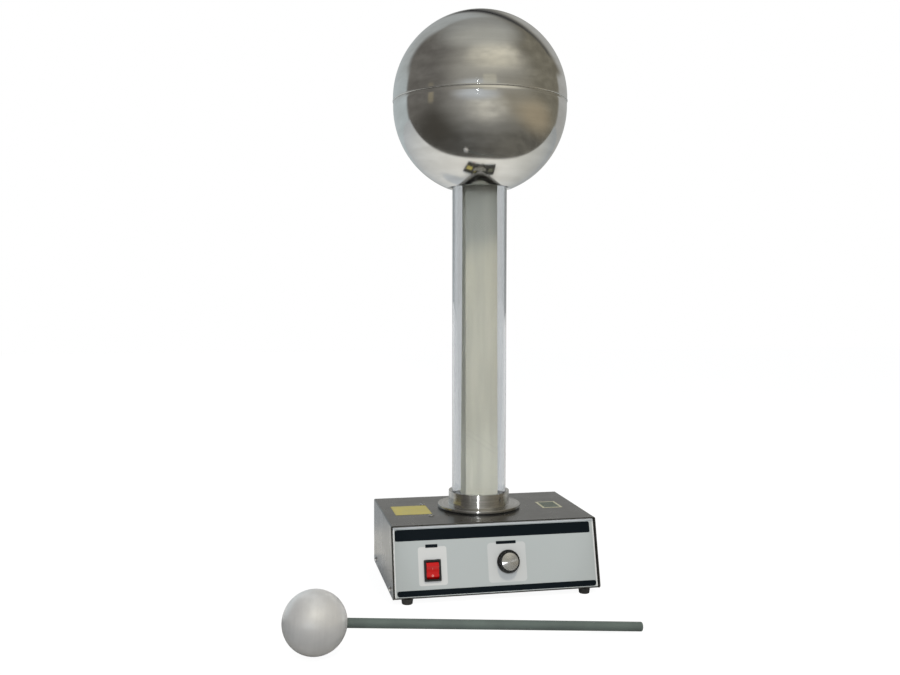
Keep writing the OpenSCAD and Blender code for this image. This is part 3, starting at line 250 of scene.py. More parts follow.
def build_turned(tree: bpy.types.NodeTree) -> None:
    """Lines that a lathe leaves round the Z axis: a height, and streaks as a mask.

    Args:
        tree: The empty group that it fills.
    """
    w, given, out = group_sockets(tree, {"Vector": ORIGIN, "Pitch": 1200.0, "Length": 3.0}, ["Height", "Streak"])
    parts = w.split(given["Vector"])
    flat = w.put("CombineXYZ", {"X": parts[0], "Y": parts[1]}).outputs[0]
    radius = w.vector("LENGTH", flat)
    turn = w.math("MULTIPLY", w.math("SINE", w.math("ARCTAN2", parts[1], parts[0])), given["Length"])
    lines = w.put("CombineXYZ", {
        "X": w.math("MULTIPLY", radius, given["Pitch"]), "Y": turn, "Z": w.math("MULTIPLY", parts[2], given["Pitch"])
    }).outputs[0]
    broad = w.noise(w.vector("MULTIPLY", lines, (0.12, 0.6, 0.12)), detail=4.0)
    w.link(w.noise(lines), out.inputs["Height"])
    w.link(w.step(broad, 0.3, 0.7), out.inputs["Streak"])


def build_worn_and_highlit_edge(tree: bpy.types.NodeTree) -> None:
    """Outer edges, as a mask: where a coating is rubbed, and where the lighter edge is a painted highlight.

    Args:
        tree: The empty group that it fills.
    """
    w, given, out = group_sockets(tree, {"Vector": ORIGIN, "Radius": 0.0006, "Breakup": 300.0}, ["Mask"])
    soft = w.put("Bevel", {"Radius": given["Radius"]}, samples=4).outputs[0]
    facing = w.vector("DOT_PRODUCT", soft, w.put("NewGeometry").outputs["Normal"])
    edge = w.step(w.math("SUBTRACT", 1.0, facing), 0.02, 0.12)
    patches = w.step(w.noise(given["Vector"], given["Breakup"], 3.0), 0.4, 0.62)
    w.link(w.math("MULTIPLY", edge, patches), out.inputs["Mask"])


def build_dust(tree: bpy.types.NodeTree) -> None:
    """Dust that settles on faces that look up, as a mask.

    Args:
        tree: The empty group that it fills.
    """
    w, given, out = group_sockets(tree, {"Vector": ORIGIN, "Scale": 60.0, "Amount": 0.3}, ["Mask"])
    up = w.split(w.put("NewGeometry").outputs["Normal"])[2]
    patches = w.noise(given["Vector"], given["Scale"], 6.0, 0.7)
    cover = w.math("MULTIPLY", w.step(up, 0.5, 1.0), w.step(patches, 0.35, 0.75))
    w.link(w.math("MULTIPLY", cover, given["Amount"]), out.inputs["Mask"])


def build_print(tree: bpy.types.NodeTree) -> None:
    """A filled box with rounded corners on a flat print, as a mask. Its sizes are in the print's own units.

    Args:
        tree: The empty group that it fills.
    """
    sizes = {"Place": ORIGIN, "Middle": ORIGIN, "Half": (1.0, 1.0, 0.0), "Corner": 0.0, "Soft": 0.15}
    w, given, out = group_sockets(tree, sizes, ["Mask"])
    away = w.vector("ABSOLUTE", w.vector("SUBTRACT", given["Place"], given["Middle"]))
    corner = w.put("CombineXYZ", {"X": given["Corner"], "Y": given["Corner"]}).outputs[0]
    inner = w.vector("SUBTRACT", given["Half"], corner)
    over = w.vector("MAXIMUM", w.vector("SUBTRACT", away, inner))
    flat = w.vector("MULTIPLY", over, (1.0, 1.0, 0.0))
    gap = w.math("SUBTRACT", w.vector("LENGTH", flat), given["Corner"])
    depth, start = (w.math("MULTIPLY", part, -1.0) for part in (gap, given["Soft"]))
    w.link(w.step(depth, start, given["Soft"]), out.inputs["Mask"])


EFFECT_BUILDERS: dict[Effect, Callable[[bpy.types.NodeTree], None]] = {
    Effect.MOTTLE: build_mottle,
    Effect.GRAIN: build_grain,
    Effect.TURNED: build_turned,
    Effect.WORN_AND_HIGHLIGHT: build_worn_and_highlit_edge,
    Effect.DUST: build_dust,
    Effect.PRINT: build_print,
}


@dataclass(frozen=True)
class Finish:
    """A surface finish. Its slot is the name that the record gives it."""

    slot: str
    colour: Rgb
    roughness: float = 0.5
    metallic: float = 0.0
    name: str = ""

    def material(self) -> bpy.types.Material:
        """The Blender material, built once."""
        title = self.name or self.slot
        known = bpy.data.materials.get(f"finish_{title}")
        if known:
            return known
        made = bpy.data.materials.new(f"finish_{title}")
        made.use_nodes = True
        wiring = Wiring(made.node_tree)
        shader = made.node_tree.nodes["Principled BSDF"]
        shader.inputs["Base Color"].default_value = rgba(self.colour)
        shader.inputs["Roughness"].default_value = self.roughness
        shader.inputs["Metallic"].default_value = self.metallic
        where = wiring.put("TexCoord").outputs["Object"]
        self.wire(wiring, shader.inputs, where)
        return made

    def wire(self, w: Wiring, surface: bpy.types.NodeInputs, where: Socket) -> None:
        """Adds the finish's own detail to the shader.

        Args:
            w: The wiring of the material's tree.
            surface: The shader's inputs.
            where: The point in the piece's own coordinates.
        """
        raise NotImplementedError


@dataclass(frozen=True)
class Coated(Finish):
    """Paint, moulded plastic, rubber or board: pebbled, faintly mottled, lighter at its edges (rubbed wear and painted
    highlight) and dusty on top.
    """

    shade: Rgb = (0.0, 0.0, 0.0)
    grain: float = 900.0
    relief: float = 0.00002
    mottle: float = 30.0
    edge_wear_and_highlight: Rgb | None = None
    edge_wear_and_highlight_radius: float = 0.0005
    dust: float = 0.0
    coat: float = 0.0
    coat_roughness: float = 0.08

    def wire(self, w: Wiring, surface: bpy.types.NodeInputs, where: Socket) -> None:
        """Mottles the colour, lightens the edges as rubbed wear and painted highlight, lays the dust and raises the
        grain.

        Args:
            w: The wiring of the material's tree.
            surface: The shader's inputs.
            where: The point in the piece's own coordinates.
        """
        patch = w.effect(Effect.MOTTLE, {"Vector": where, "Scale": self.mottle})
        colour = w.mix(patch, self.shade, self.colour)
        rough = w.math("MULTIPLY_ADD", patch, 0.08, self.roughness - 0.04)
        if self.edge_wear_and_highlight:
            # Lighter outer edges: partly rubbed coating, partly a painted highlight along the edges
            rub_and_highlight = w.effect(Effect.WORN_AND_HIGHLIGHT, {"Vector": where, "Radius": self.edge_wear_and_highlight_radius})
            colour = w.mix(rub_and_highlight, colour, self.edge_wear_and_highlight)
            rough = w.math("MULTIPLY_ADD", rub_and_highlight, -0.12, rough)
        if self.dust:
            settled = w.effect(Effect.DUST, {"Vector": where, "Amount": self.dust})
            colour = w.mix(settled, colour, DUST_GREY)
            rough = w.math("MULTIPLY_ADD", settled, 0.4, rough)
        w.link(colour, surface["Base Color"])
        w.link(rough, surface["Roughness"])
        surface["Coat Weight"].default_value = self.coat
        surface["Coat Roughness"].default_value = self.coat_roughness
        height = w.effect(Effect.GRAIN, {"Vector": where, "Scale": self.grain})
        w.bump(surface, height, self.relief, 0.6)


@dataclass(frozen=True)
class Metal(Finish):
    """Plated, cast or sheet metal with fine scratches and faintly darker mottling."""

    tarnish: Rgb = (0.2, 0.2, 0.2)
    mottle: float = 80.0
    scratch: float = 1500.0
    stretch: tuple[float, float, float] = (1.0, 1.0, 0.06)
    relief: float = 0.000006

    def wire(self, w: Wiring, surface: bpy.types.NodeInputs, where: Socket) -> None:
        """Mottles the colour and the gloss and cuts fine scratches.

        Args:
            w: The wiring of the material's tree.
            surface: The shader's inputs.
            where: The point in the piece's own coordinates.
        """
        patch = w.effect(Effect.MOTTLE, {"Vector": where, "Scale": self.mottle, "Low": 0.3, "High": 0.75})
        drawn = w.vector("MULTIPLY", where, self.stretch)
        height = w.effect(Effect.GRAIN, {"Vector": drawn, "Scale": self.scratch})
        w.link(w.mix(patch, self.tarnish, self.colour), surface["Base Color"])
        w.link(w.math("MULTIPLY_ADD", height, 0.12, self.roughness - 0.05), surface["Roughness"])
        w.bump(surface, height, self.relief)


@dataclass(frozen=True)
class Spun(Finish):
    """Metal spun or turned on a lathe: lines round its own axis that draw the highlights out along it."""

    origin: tuple[float, float, float] = (0.0, 0.0, 0.0)
    axis: tuple[float, float, float] = (0.0, 0.0, 1.0)
    shade: Rgb = (0.4, 0.4, 0.4)
    pitch: float = 1200.0
    relief: float = 0.000004
    anisotropy: float = 0.5
    spread: float = 0.08
    waves: float = 0.0
    smudge: float = 14.0

    def wire(self, w: Wiring, surface: bpy.types.NodeInputs, where: Socket) -> None:
        """Runs the lines round the piece's axis, and lets the gloss and the tone drift from line to line.

        Args:
            w: The wiring of the material's tree.
            surface: The shader's inputs.
            where: The point in the piece's own coordinates.
        """
        moved = w.vector("SUBTRACT", where, self.origin)
        turn = Vector(self.axis).rotation_difference(Vector((0.0, 0.0, 1.0)))
        local = w.put("VectorRotate", {"Vector": moved, "Axis": turn.axis[:], "Angle": turn.angle}).outputs[0]
        lines = w.effect(Effect.TURNED, {"Vector": local, "Pitch": self.pitch}).node.outputs
        cloud = w.effect(Effect.MOTTLE, {"Vector": local, "Scale": self.smudge, "Low": 0.25, "High": 0.75})
        tone = w.math("MULTIPLY_ADD", lines["Streak"], 0.55, w.math("MULTIPLY", cloud, 0.45))
        w.link(w.mix(tone, self.shade, self.colour), surface["Base Color"])
        w.link(w.math("MULTIPLY_ADD", tone, -self.spread, self.roughness + self.spread / 2), surface["Roughness"])
        surface["Anisotropic"].default_value = self.anisotropy
        surface["Anisotropic Rotation"].default_value = 0.25
        tangent = w.put("Tangent", direction_type="UV_MAP", uv_map="turn")
        w.link(tangent.outputs[0], surface["Tangent"])
        fine = w.bump(surface, lines["Height"], self.relief)
        if self.waves:
            w.bump(fine.inputs, w.noise(local, 9.0, 1.0), self.waves, 0.6)


@dataclass(frozen=True)
class Acrylic(Finish):
    """Clear extruded tube, faintly smoky, with hairline scratches along it."""

    def wire(self, w: Wiring, surface: bpy.types.NodeInputs, where: Socket) -> None:
        """Clears the plastic and draws the extrusion's faint lines.

        Args:
            w: The wiring of the material's tree.
            surface: The shader's inputs.
            where: The point in the piece's own coordinates.
        """
        surface["Transmission Weight"].default_value = 1.0
        surface["IOR"].default_value = 1.49
        drawn = w.vector("MULTIPLY", where, (1.0, 1.0, 0.01))
        lines = w.noise(drawn, 700.0)
        haze = w.effect(Effect.MOTTLE, {"Vector": drawn, "Scale": 40.0})
        pale = tuple(min(1.0, c * 1.05) for c in self.colour)
        w.link(w.mix(haze, self.colour, pale), surface["Base Color"])
        w.link(w.math("MULTIPLY", lines, self.roughness), surface["Roughness"])
        rays = w.put("LightPath").outputs
        face = tuple(math.sqrt(c) for c in self.colour)
        through = w.put("BsdfTransparent", {"Color": rgba(face)}).outputs[0]
        glass, out = (w.tree.nodes[name] for name in ("Principled BSDF", "Material Output"))
        both = w.put("MixShader", {0: rays["Is Shadow Ray"], 1: glass.outputs[0], 2: through}).outputs[0]
        w.link(both, out.inputs[0])


@dataclass(frozen=True)
class Woven(Finish):
    """Rubbered belt: a fine weave under the skin, faint lengthwise drift and the slanted line of its splice."""

    weave: float = 1500.0
    splice_z: float = 0.205
    splice_slope: float = -0.68
    splice_width: float = 0.009

    def wire(self, w: Wiring, surface: bpy.types.NodeInputs, where: Socket) -> None:
        """Weaves the belt, soils it faintly and joins its ends.

        Args:
            w: The wiring of the material's tree.
            surface: The shader's inputs.
            where: The point in the piece's own coordinates.
        """
        x, y, z = w.split(where)
        cross = [w.math("SINE", w.math("MULTIPLY", axis, self.weave)) for axis in (x, z)]
        weave = w.math("MULTIPLY", *cross)
        drift = w.noise(w.vector("MULTIPLY", where, (60.0, 60.0, 6.0)), detail=4.0)
        soiled = tuple(c * 0.86 for c in self.colour)
        colour = w.mix(w.step(drift, 0.3, 0.7), soiled, self.colour)
        line = w.math("SUBTRACT", z, w.math("MULTIPLY_ADD", x, self.splice_slope, self.splice_z))
        front = w.drop(y, -0.001, 0.0)
        for offset in (0.0, -self.splice_width):
            gap = w.math("ABSOLUTE", w.math("ADD", line, offset))
            joint = w.math("MULTIPLY", w.drop(gap, 0.0002, 0.0009), front)
            colour = w.mix(w.math("MULTIPLY", joint, 0.35), colour, tuple(c * 0.55 for c in self.colour))
        w.link(colour, surface["Base Color"])
        w.link(w.math("MULTIPLY_ADD", drift, 0.15, self.roughness - 0.07), surface["Roughness"])
        w.bump(surface, weave, 0.00008)


@dataclass(frozen=True)
class PrintBox:
    """One flat shape of the panel's print, in millimetres from the panel's middle and from its foot."""

    left: float
    right: float
    low: float
    high: float
    corner: float
    colour: Rgb


@dataclass(frozen=True)
class Printed(Finish):
    """A print in the front panel's plane: a ground with plain bands and boxes."""

    boxes: tuple[PrintBox, ...] = ()
    grain: float = 1400.0
    coat: float = 0.0
    sheen: float = 0.5

    def wire(self, w: Wiring, surface: bpy.types.NodeInputs, where: Socket) -> None:
        """Lays the shapes over the ground in the panel's own plane.

        Args:
            w: The wiring of the material's tree.
            surface: The shader's inputs.
            where: The point in the piece's own coordinates.
        """
        surface["Specular IOR Level"].default_value = self.sheen
        from_foot = w.vector("SUBTRACT", where, tuple(c * MM for c in PANEL_FOOT))
        across = w.vector("DOT_PRODUCT", from_foot, (1 / MM, 0.0, 0.0))
        rise = w.vector("DOT_PRODUCT", from_foot, tuple(c / MM for c in PANEL_UP))
        place = w.put("CombineXYZ", {"X": across, "Y": rise}).outputs[0]
        patch = w.effect(Effect.MOTTLE, {"Vector": where, "Scale": 25.0})
        colour = w.mix(patch, tuple(c * 0.97 for c in self.colour), self.colour)
        for box in self.boxes:
            mask = w.effect(Effect.PRINT, {
                "Place": place,
                "Middle": ((box.left + box.right) / 2, (box.low + box.high) / 2, 0.0),
                "Half": ((box.right - box.left) / 2, (box.high - box.low) / 2, 0.0),
                "Corner": box.corner,
            })
            colour = w.mix(mask, colour, box.colour)
        w.link(colour, surface["Base Color"])
        surface["Coat Weight"].default_value = self.coat
        surface["Coat Roughness"].default_value = 0.08
        height = w.effect(Effect.GRAIN, {"Vector": where, "Scale": self.grain})
        w.link(w.math("MULTIPLY_ADD", height, 0.08, self.roughness - 0.04), surface["Roughness"])
        w.bump(surface, height, 0.00001, 0.4)


@dataclass(frozen=True)
class Label(Finish):
    """A blank self-adhesive label on the case's top: a plain field in a plain border."""

    middle: Point = (0.0, 0.0)
    half: Point = (10.0, 10.0)
    border: float = 2.0
    field: Rgb = (0.5, 0.5, 0.5)

    def wire(self, w: Wiring, surface: bpy.types.NodeInputs, where: Socket) -> None:
        """Prints the field inside the border, with a slightly uneven ink.

        Args:
            w: The wiring of the material's tree.
            surface: The shader's inputs.
            where: The point in the piece's own coordinates.
        """
        place = w.vector("MULTIPLY", where, (1 / MM, 1 / MM, 1 / MM))
        mask = w.effect(Effect.PRINT, {
            "Place": place,
            "Middle": (*self.middle, 0.0),
            "Half": (self.half[0] - self.border, self.half[1] - self.border, 0.0),
            "Corner": 0.8,
        })
        patch = w.effect(Effect.MOTTLE, {"Vector": where, "Scale": 120.0})
        ink = w.mix(patch, tuple(c * 0.85 for c in self.field), self.field)
        w.link(w.mix(mask, self.colour, ink), surface["Base Color"])
        w.link(w.math("MULTIPLY_ADD", patch, 0.1, self.roughness - 0.05), surface["Roughness"])


NAVY = (0.003, 0.006, 0.009)
PALE = (0.52, 0.525, 0.525)
PANEL_BOXES = (
    PrintBox(-145.2, 145.2, 2.6, 97.2, 2.0, (0.375, 0.40, 0.405)),
    PrintBox(-112.7, -72.0, 18.0, 71.0, 3.5, PALE),
    PrintBox(-13.0, 43.0, 17.0, 72.0, 5.0, (0.47, 0.48, 0.485)),
    PrintBox(-144.6, 141.0, 80.0, 95.8, 3.0, NAVY),
    PrintBox(-144.6, 141.0, 80.0, 86.0, 0.0, NAVY),
    PrintBox(-143.8, 145.0, 4.6, 12.6, 4.0, NAVY),
    PrintBox(-143.8, 145.0, 8.6, 12.6, 0.0, NAVY),
    PrintBox(-102.0, -84.5, 69.6, 74.3, 1.0, NAVY),
    PrintBox(0.0, 29.3, 69.8, 74.1, 1.0, NAVY),
)

RED = (0.44, 0.004, 0.004)
MARK = (0.60, 0.30, 0.28)
FAINT_MARK = (0.52, 0.10, 0.09)
ROCKER_MARKS = (
    PrintBox(-93.7, -92.9, 39.2, 42.4, 0.3, FAINT_MARK),
    PrintBox(-94.7, -91.9, 29.6, 32.8, 1.4, MARK),
    PrintBox(-94.0, -92.6, 30.3, 32.1, 0.7, RED),
)

# The lighter edge colours of the case paint and the black plastic are partly painted edge highlights
CASE_PAINT = Coated("case_paint", (0.022, 0.021, 0.019), 0.3, shade=(0.014, 0.0135, 0.012), grain=1100.0,
                    relief=0.000008, edge_wear_and_highlight=(0.09, 0.085, 0.08), dust=0.04, coat=0.62, coat_roughness=0.16)
OVERLAY = Printed("overlay", (0.66, 0.67, 0.68), 0.42, boxes=PANEL_BOXES, sheen=0.1)
BLACK_PLASTIC = Coated("black_plastic", (0.012, 0.012, 0.013), 0.28, shade=(0.006, 0.006, 0.006), grain=1600.0,
                       relief=0.000008, edge_wear_and_highlight=(0.05, 0.05, 0.05), edge_wear_and_highlight_radius=0.0003)
RED_PLASTIC = Printed("red_plastic", RED, 0.3, boxes=ROCKER_MARKS, grain=500.0, coat=0.3, sheen=0.3)
CHROME = Metal("chrome", (0.86, 0.86, 0.87), 0.1, 1.0, tarnish=(0.62, 0.62, 0.63), relief=0.000003)
ZINC = Metal("zinc_steel", (0.68, 0.69, 0.70), 0.3, 1.0, tarnish=(0.45, 0.46, 0.46))
BRASS = Metal("brass", (0.78, 0.57, 0.27), 0.26, 1.0, tarnish=(0.42, 0.30, 0.14))
COPPER = Metal("copper", (0.80, 0.42, 0.27), 0.3, 1.0, tarnish=(0.40, 0.20, 0.13))
DOME_METAL = Spun("dome_metal", (0.90, 0.895, 0.88), 0.10, 1.0, shade=(0.70, 0.69, 0.665), pitch=500.0,
                  relief=0.0000016, anisotropy=0.45, spread=0.06, waves=0.0004)
BALL_METAL = Spun("dome_metal", (0.88, 0.87, 0.87), 0.36, 0.60, name="ball_metal", shade=(0.76, 0.75, 0.75),
                  pitch=900.0, relief=0.000006, anisotropy=0.3, spread=0.14, smudge=60.0,
                  origin=(-0.267, -0.284, 0.039), axis=(0.99683, 0.0, -0.07951))
TURNED_METAL = Spun("turned_metal", (0.74, 0.73, 0.71), 0.19, 1.0, shade=(0.50, 0.49, 0.47), pitch=2600.0,
                    relief=0.000002, anisotropy=0.92, spread=0.05)
CAP_METAL = Spun("chrome", (0.86, 0.86, 0.86), 0.24, 1.0, name="cap_metal", shade=(0.74, 0.74, 0.74), pitch=3000.0,
                 relief=0.000001, anisotropy=0.95, spread=0.04, origin=(0.0165, -0.1236, 0.0535),
                 axis=(0.0, -0.96657, 0.25643))
ACRYLIC = Acrylic("acrylic", (0.69, 0.705, 0.715), 0.02)
BELT_WEB = Woven("belt", (0.70, 0.69, 0.60), 0.6)
NYLON = Coated("nylon", (0.78, 0.75, 0.68), 0.42, shade=(0.66, 0.63, 0.56), grain=700.0, mottle=60.0)
BOARD = Coated("board", (0.02, 0.12, 0.05), 0.35, shade=(0.012, 0.07, 0.03), grain=500.0, mottle=90.0)
COMPONENT = Coated("parts", (0.03, 0.05, 0.16), 0.35, shade=(0.02, 0.03, 0.1), grain=500.0, mottle=90.0)
GREEN_PLASTIC = Coated("green_plastic", (0.02, 0.22, 0.06), 0.32, shade=(0.012, 0.15, 0.04), grain=1200.0)
FOOT_RUBBER = Coated("foot_rubber", (0.010, 0.010, 0.010), 0.62, shade=(0.018, 0.018, 0.017), grain=1500.0,
                     relief=0.00004, dust=0.1)
MOTOR_STEEL = Coated("motor_steel", (0.10, 0.11, 0.13), 0.34, shade=(0.07, 0.08, 0.09), edge_wear_and_highlight=(0.4, 0.4, 0.4),
                     edge_wear_and_highlight_radius=0.0006)
YELLOW_VINYL = Label("yellow_vinyl", (0.42, 0.36, 0.09), 0.38, middle=(-106.0, -7.0), half=(27.0, 29.0),
                     border=1.6, field=(0.48, 0.415, 0.115))
FOIL_VINYL = Label("foil_vinyl", (0.58, 0.56, 0.40), 0.3, 0.4, middle=(108.5, -8.5), half=(15.5, 21.5),
                   border=3.4, field=(0.09, 0.12, 0.09))
ROD_PLASTIC = Coated("rod_plastic", (0.10, 0.125, 0.115), 0.36, shade=(0.085, 0.105, 0.098), grain=500.0,
                     relief=0.00001, mottle=18.0)


def arc(centre: Point, radius: float, start: float, stop: float, steps: int = 8) -> list[Point]:
    """Points on an arc, both ends included.

    Args:
        centre: The arc's centre.
        radius: Its radius.
        start: Angle of the first point, in degrees.
        stop: Angle of the last point, in degrees.
        steps: Number of pieces between them.

    Returns:
        The points, in order.
    """
    turns = [math.radians(start + (stop - start) * i / steps) for i in range(steps + 1)]
    return [(centre[0] + radius * math.cos(t), centre[1] + radius * math.sin(t)) for t in turns]


def eased(points: Sequence[Point], radius: float, steps: int = 3) -> list[Point]:
    """Rounds the sharp corners of a closed outline, but not the blunt ones, those on the axis or the crowded ones.

    Args:
        points: The outline's corners.
        radius: Radius of the rounding.
        steps: Pieces in each rounding.

    Returns:
        The rounded outline.
    """
    blunt, share = math.radians(150), 0.45
    made: list[Point] = []
    for i, here in enumerate(points):
        p = Vector(here)
        before, after = Vector(points[i - 1]) - p, Vector(points[(i + 1) % len(points)]) - p
        angle = before.angle(after, math.pi)
        cut = radius / math.tan(angle / 2)
        if angle > blunt or cut > share * min(before.length, after.length) or here[0] < ON_AXIS:
            made.append(here)
            continue
        a, b = p + before.normalized() * cut, p + after.normalized() * cut
        for k in range(steps + 1):
            t = k / steps
            made.append(tuple((1 - t) ** 2 * a + 2 * t * (1 - t) * p + t * t * b))
    return made


def stood(name: str, data: bpy.types.ID) -> bpy.types.Object:
    """A new object of the data, in the scene."""
    made = bpy.data.objects.new(name, data)
    bpy.context.scene.collection.objects.link(made)
    return made


class Shop:
    """Makes objects, hands them their finish and ties them to the frame."""

    def __init__(self, frame: dict) -> None:
        self.nodes: dict[str, bpy.types.Object] = frame["nodes"]
        groups = frame["record"]["behaviour"]["bodies"]
        self.body_of = {node: body for body, members in groups.items() for node in members}

    def adopt(self, name: str, mesh: bpy.types.Mesh, finish: Finish, stands_for: Sequence[str],
              body: str | None = None) -> bpy.types.Object:
        """Makes an object of a mesh and ties it to the frame.

        Args:
            name: The piece's name.
            mesh: Its mesh, in place.
            finish: Its finish.
            stands_for: CAD nodes that it replaces; the first gives its body.
            body: Its body where it replaces no node.

        Returns:
            The piece.
        """
        mesh.materials.clear()
        mesh.materials.append(finish.material())
        piece = stood(name, mesh)
        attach(piece, body or self.body_of[stands_for[0]])
        if stands_for:
            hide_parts(*stands_for)
        LOG.info("%s rides on %s: %d faces", name, body or self.body_of[stands_for[0]], len(mesh.polygons))
        return piece

    def dress(self, finish: Finish, *nodes: str) -> None:
        """Gives CAD nodes that are shown as they are their finish.

        Args:
            finish: The finish.
            *nodes: Names of the nodes.
        """
        for node in nodes:
            shown = self.nodes[node]
            shown.data.materials.clear()
            shown.data.materials.append(finish.material())
            LOG.info("%s is the CAD's own, in %s", node, finish.slot)

    def refine(self, node: str, finish: Finish, edge: float = 0.0, crease: float = 32.0) -> bpy.types.Object:
        """Replaces a CAD node by a merged copy with smooth curved faces and eased edges.

        Args:
            node: The CAD node.
            finish: The piece's finish.
            edge: Width of the eased edges in millimetres, 0 for sharp ones.
            crease: Angle in degrees above which an edge stays sharp.

        Returns:
            The piece.
        """
        mesh = self.nodes[node].data.copy()
        shape = bmesh.new()
        shape.from_mesh(mesh)
        bmesh.ops.remove_doubles(shape, verts=shape.verts, dist=MERGE)
        bmesh.ops.dissolve_limit(shape, angle_limit=FLAT, verts=shape.verts, edges=shape.edges)
        shape.to_mesh(mesh)
        shape.free()
        smooth(mesh, crease)
        if edge:
            mesh = self._bevelled(mesh, edge * MM, crease)
        return self.adopt(f"{node}_dressed", mesh, finish, [node])

    @staticmethod
    def _bevelled(mesh: bpy.types.Mesh, width: float, crease: float) -> bpy.types.Mesh:
        """Bevels the sharp edges of a mesh and shades its flat faces flat.

        Args:
            mesh: The mesh, used up here.
            width: Width of the bevel in metres.
            crease: Angle in degrees above which an edge is sharp.

        Returns:
            The bevelled mesh.
        """
        held = stood("held", mesh)
        bevel = held.modifiers.new("edges", "BEVEL")
        bevel.width, bevel.segments, bevel.limit_method = width, 2, "ANGLE"
        bevel.angle_limit = math.radians(crease)
        bevel.use_clamp_overlap = True
        even = held.modifiers.new("even", "WEIGHTED_NORMAL")
        even.weight, even.keep_sharp = 100, True
        return baked(held)

    def repeat(self, name: str, part: bpy.types.Mesh, places: Sequence[Place], finish: Finish,
               stands_for: Sequence[str], body: str | None = None) -> bpy.types.Object:
        """Sets a part at several places through a Geometry Nodes tree.

        Args:
            name: The piece's name.
            part: The part's mesh, drawn about the origin along +Z.
            places: Where the copies go.
            finish: Their finish.
            stands_for: CAD nodes that they replace.
            body: Their body where they replace no node.

        Returns:
            One piece that holds all the copies.
        """
        seeds = bpy.data.meshes.new(name)
        seeds.from_pydata([tuple(c * MM for c in p.at) for p in places], [], [])
        facing = seeds.attributes.new("facing", "FLOAT_VECTOR", "POINT")
        facing.data.foreach_set("vector", [c for p in places for c in p.facing])
        spin = seeds.attributes.new("spin", "FLOAT", "POINT")
        spin.data.foreach_set("value", [math.radians(p.spin) for p in places])
        master, holder = stood(f"{name}_master", part), stood(f"{name}_seeds", seeds)
        run_tree(holder, repeat_tree(), {"Part": master, "Finish": finish.material()})
        mesh = baked(holder)
        bpy.data.objects.remove(master)
        return self.adopt(name, mesh, finish, stands_for, body)


@dataclass(frozen=True)
class Place:
    """Where a repeated part goes: its origin, the way its +Z faces, and its turn about that, in degrees."""

    at: tuple[float, float, float]
    facing: tuple[float, float, float] = (0.0, 0.0, 1.0)
    spin: float = 0.0


def baked(holder: bpy.types.Object) -> bpy.types.Mesh:
    """The object's evaluated mesh as a plain one; the object itself is removed."""
    mesh = bpy.data.meshes.new_from_object(holder.evaluated_get(bpy.context.evaluated_depsgraph_get()))
    bpy.data.objects.remove(holder)
    return mesh


def smooth(mesh: bpy.types.Mesh, crease: float) -> None:
    """Smooth shading with edges above the crease angle kept sharp."""
    mesh.polygons.foreach_set("use_smooth", [True] * len(mesh.polygons))
    mesh.set_sharp_from_angle(angle=math.radians(crease))
    mesh.update()


def run_tree(holder: bpy.types.Object, tree: bpy.types.NodeTree, values: dict[str, object]) -> None:
    """Puts a Geometry Nodes tree on an object and sets its named inputs by their identifiers.

    Args:
        holder: The object.
        tree: The tree.
        values: Names of the tree's inputs with their values.
    """
    modifier = holder.modifiers.new(tree.name, "NODES")
    modifier.node_group = tree
    names = {item.name: item.identifier for item in tree.interface.items_tree if item.in_out == "INPUT"}
    for name, value in values.items():
        modifier[names[name]] = value


def new_tree(name: str, inputs: dict[str, tuple[str, object]]
             ) -> tuple[bpy.types.NodeTree, Wiring, bpy.types.NodeOutputs, bpy.types.Node]:
    """Starts a Geometry Nodes tree.

    Args:
        name: The tree's name.
        inputs: Names of the inputs after the geometry, each with its socket type and default.

    Returns:
        The tree, its wiring, the inputs' sockets and the output node.
    """
    tree = bpy.data.node_groups.new(name, "GeometryNodeTree")
    tree.interface.new_socket("Shape", in_out="INPUT", socket_type="NodeSocketGeometry")
    for label, (kind, value) in inputs.items():
        made = tree.interface.new_socket(label, in_out="INPUT", socket_type=f"NodeSocket{kind}")
        if value is not None:
            made.default_value = value
    tree.interface.new_socket("Shape", in_out="OUTPUT", socket_type="NodeSocketGeometry")
    w = Wiring(tree)
    return tree, w, w.put("NodeGroupInput").outputs, w.put("NodeGroupOutput")


def finish_tree(w: Wiring, shape: Socket, finish: Socket, out: bpy.types.Node) -> None:
    """Ends a tree: realizes its instances and sets its material.

    Args:
        w: The tree's wiring.
        shape: The geometry.
        finish: The material's socket.
        out: The tree's output node.
    """
    real = w.put("GeometryNodeRealizeInstances", {0: shape}).outputs[0]
    dressed = w.put("GeometryNodeSetMaterial", {"Geometry": real, "Material": finish}).outputs[0]
    w.link(dressed, out.inputs[0])


def repeat_tree() -> bpy.types.NodeTree:
    """The tree that sets a part on every point, turned by the point's facing and spin."""
    known = bpy.data.node_groups.get("repeat_part")
    if known:
        return known
    tree, w, given, out = new_tree("repeat_part", {"Part": ("Object", None), "Finish": ("Material", None)})
    facing = w.put("GeometryNodeInputNamedAttribute", {"Name": "facing"}, data_type="FLOAT_VECTOR").outputs[0]
    spin = w.put("GeometryNodeInputNamedAttribute", {"Name": "spin"}, data_type="FLOAT").outputs[0]
    aimed = w.put("FunctionNodeAlignRotationToVector", {"Vector": facing}, axis="Z").outputs[0]
    turn = w.put("FunctionNodeAxisAngleToRotation", {"Axis": (0.0, 0.0, 1.0), "Angle": spin}).outputs[0]
    both = w.put("FunctionNodeRotateRotation", {0: aimed, 1: turn}, rotation_space="LOCAL").outputs[0]
    part = w.put("GeometryNodeObjectInfo", {"Object": given["Part"]}).outputs["Geometry"]
    placed = w.put("GeometryNodeInstanceOnPoints", {"Points": given["Shape"], "Instance": part, "Rotation": both})
    finish_tree(w, placed.outputs[0], given["Finish"], out)
    return tree


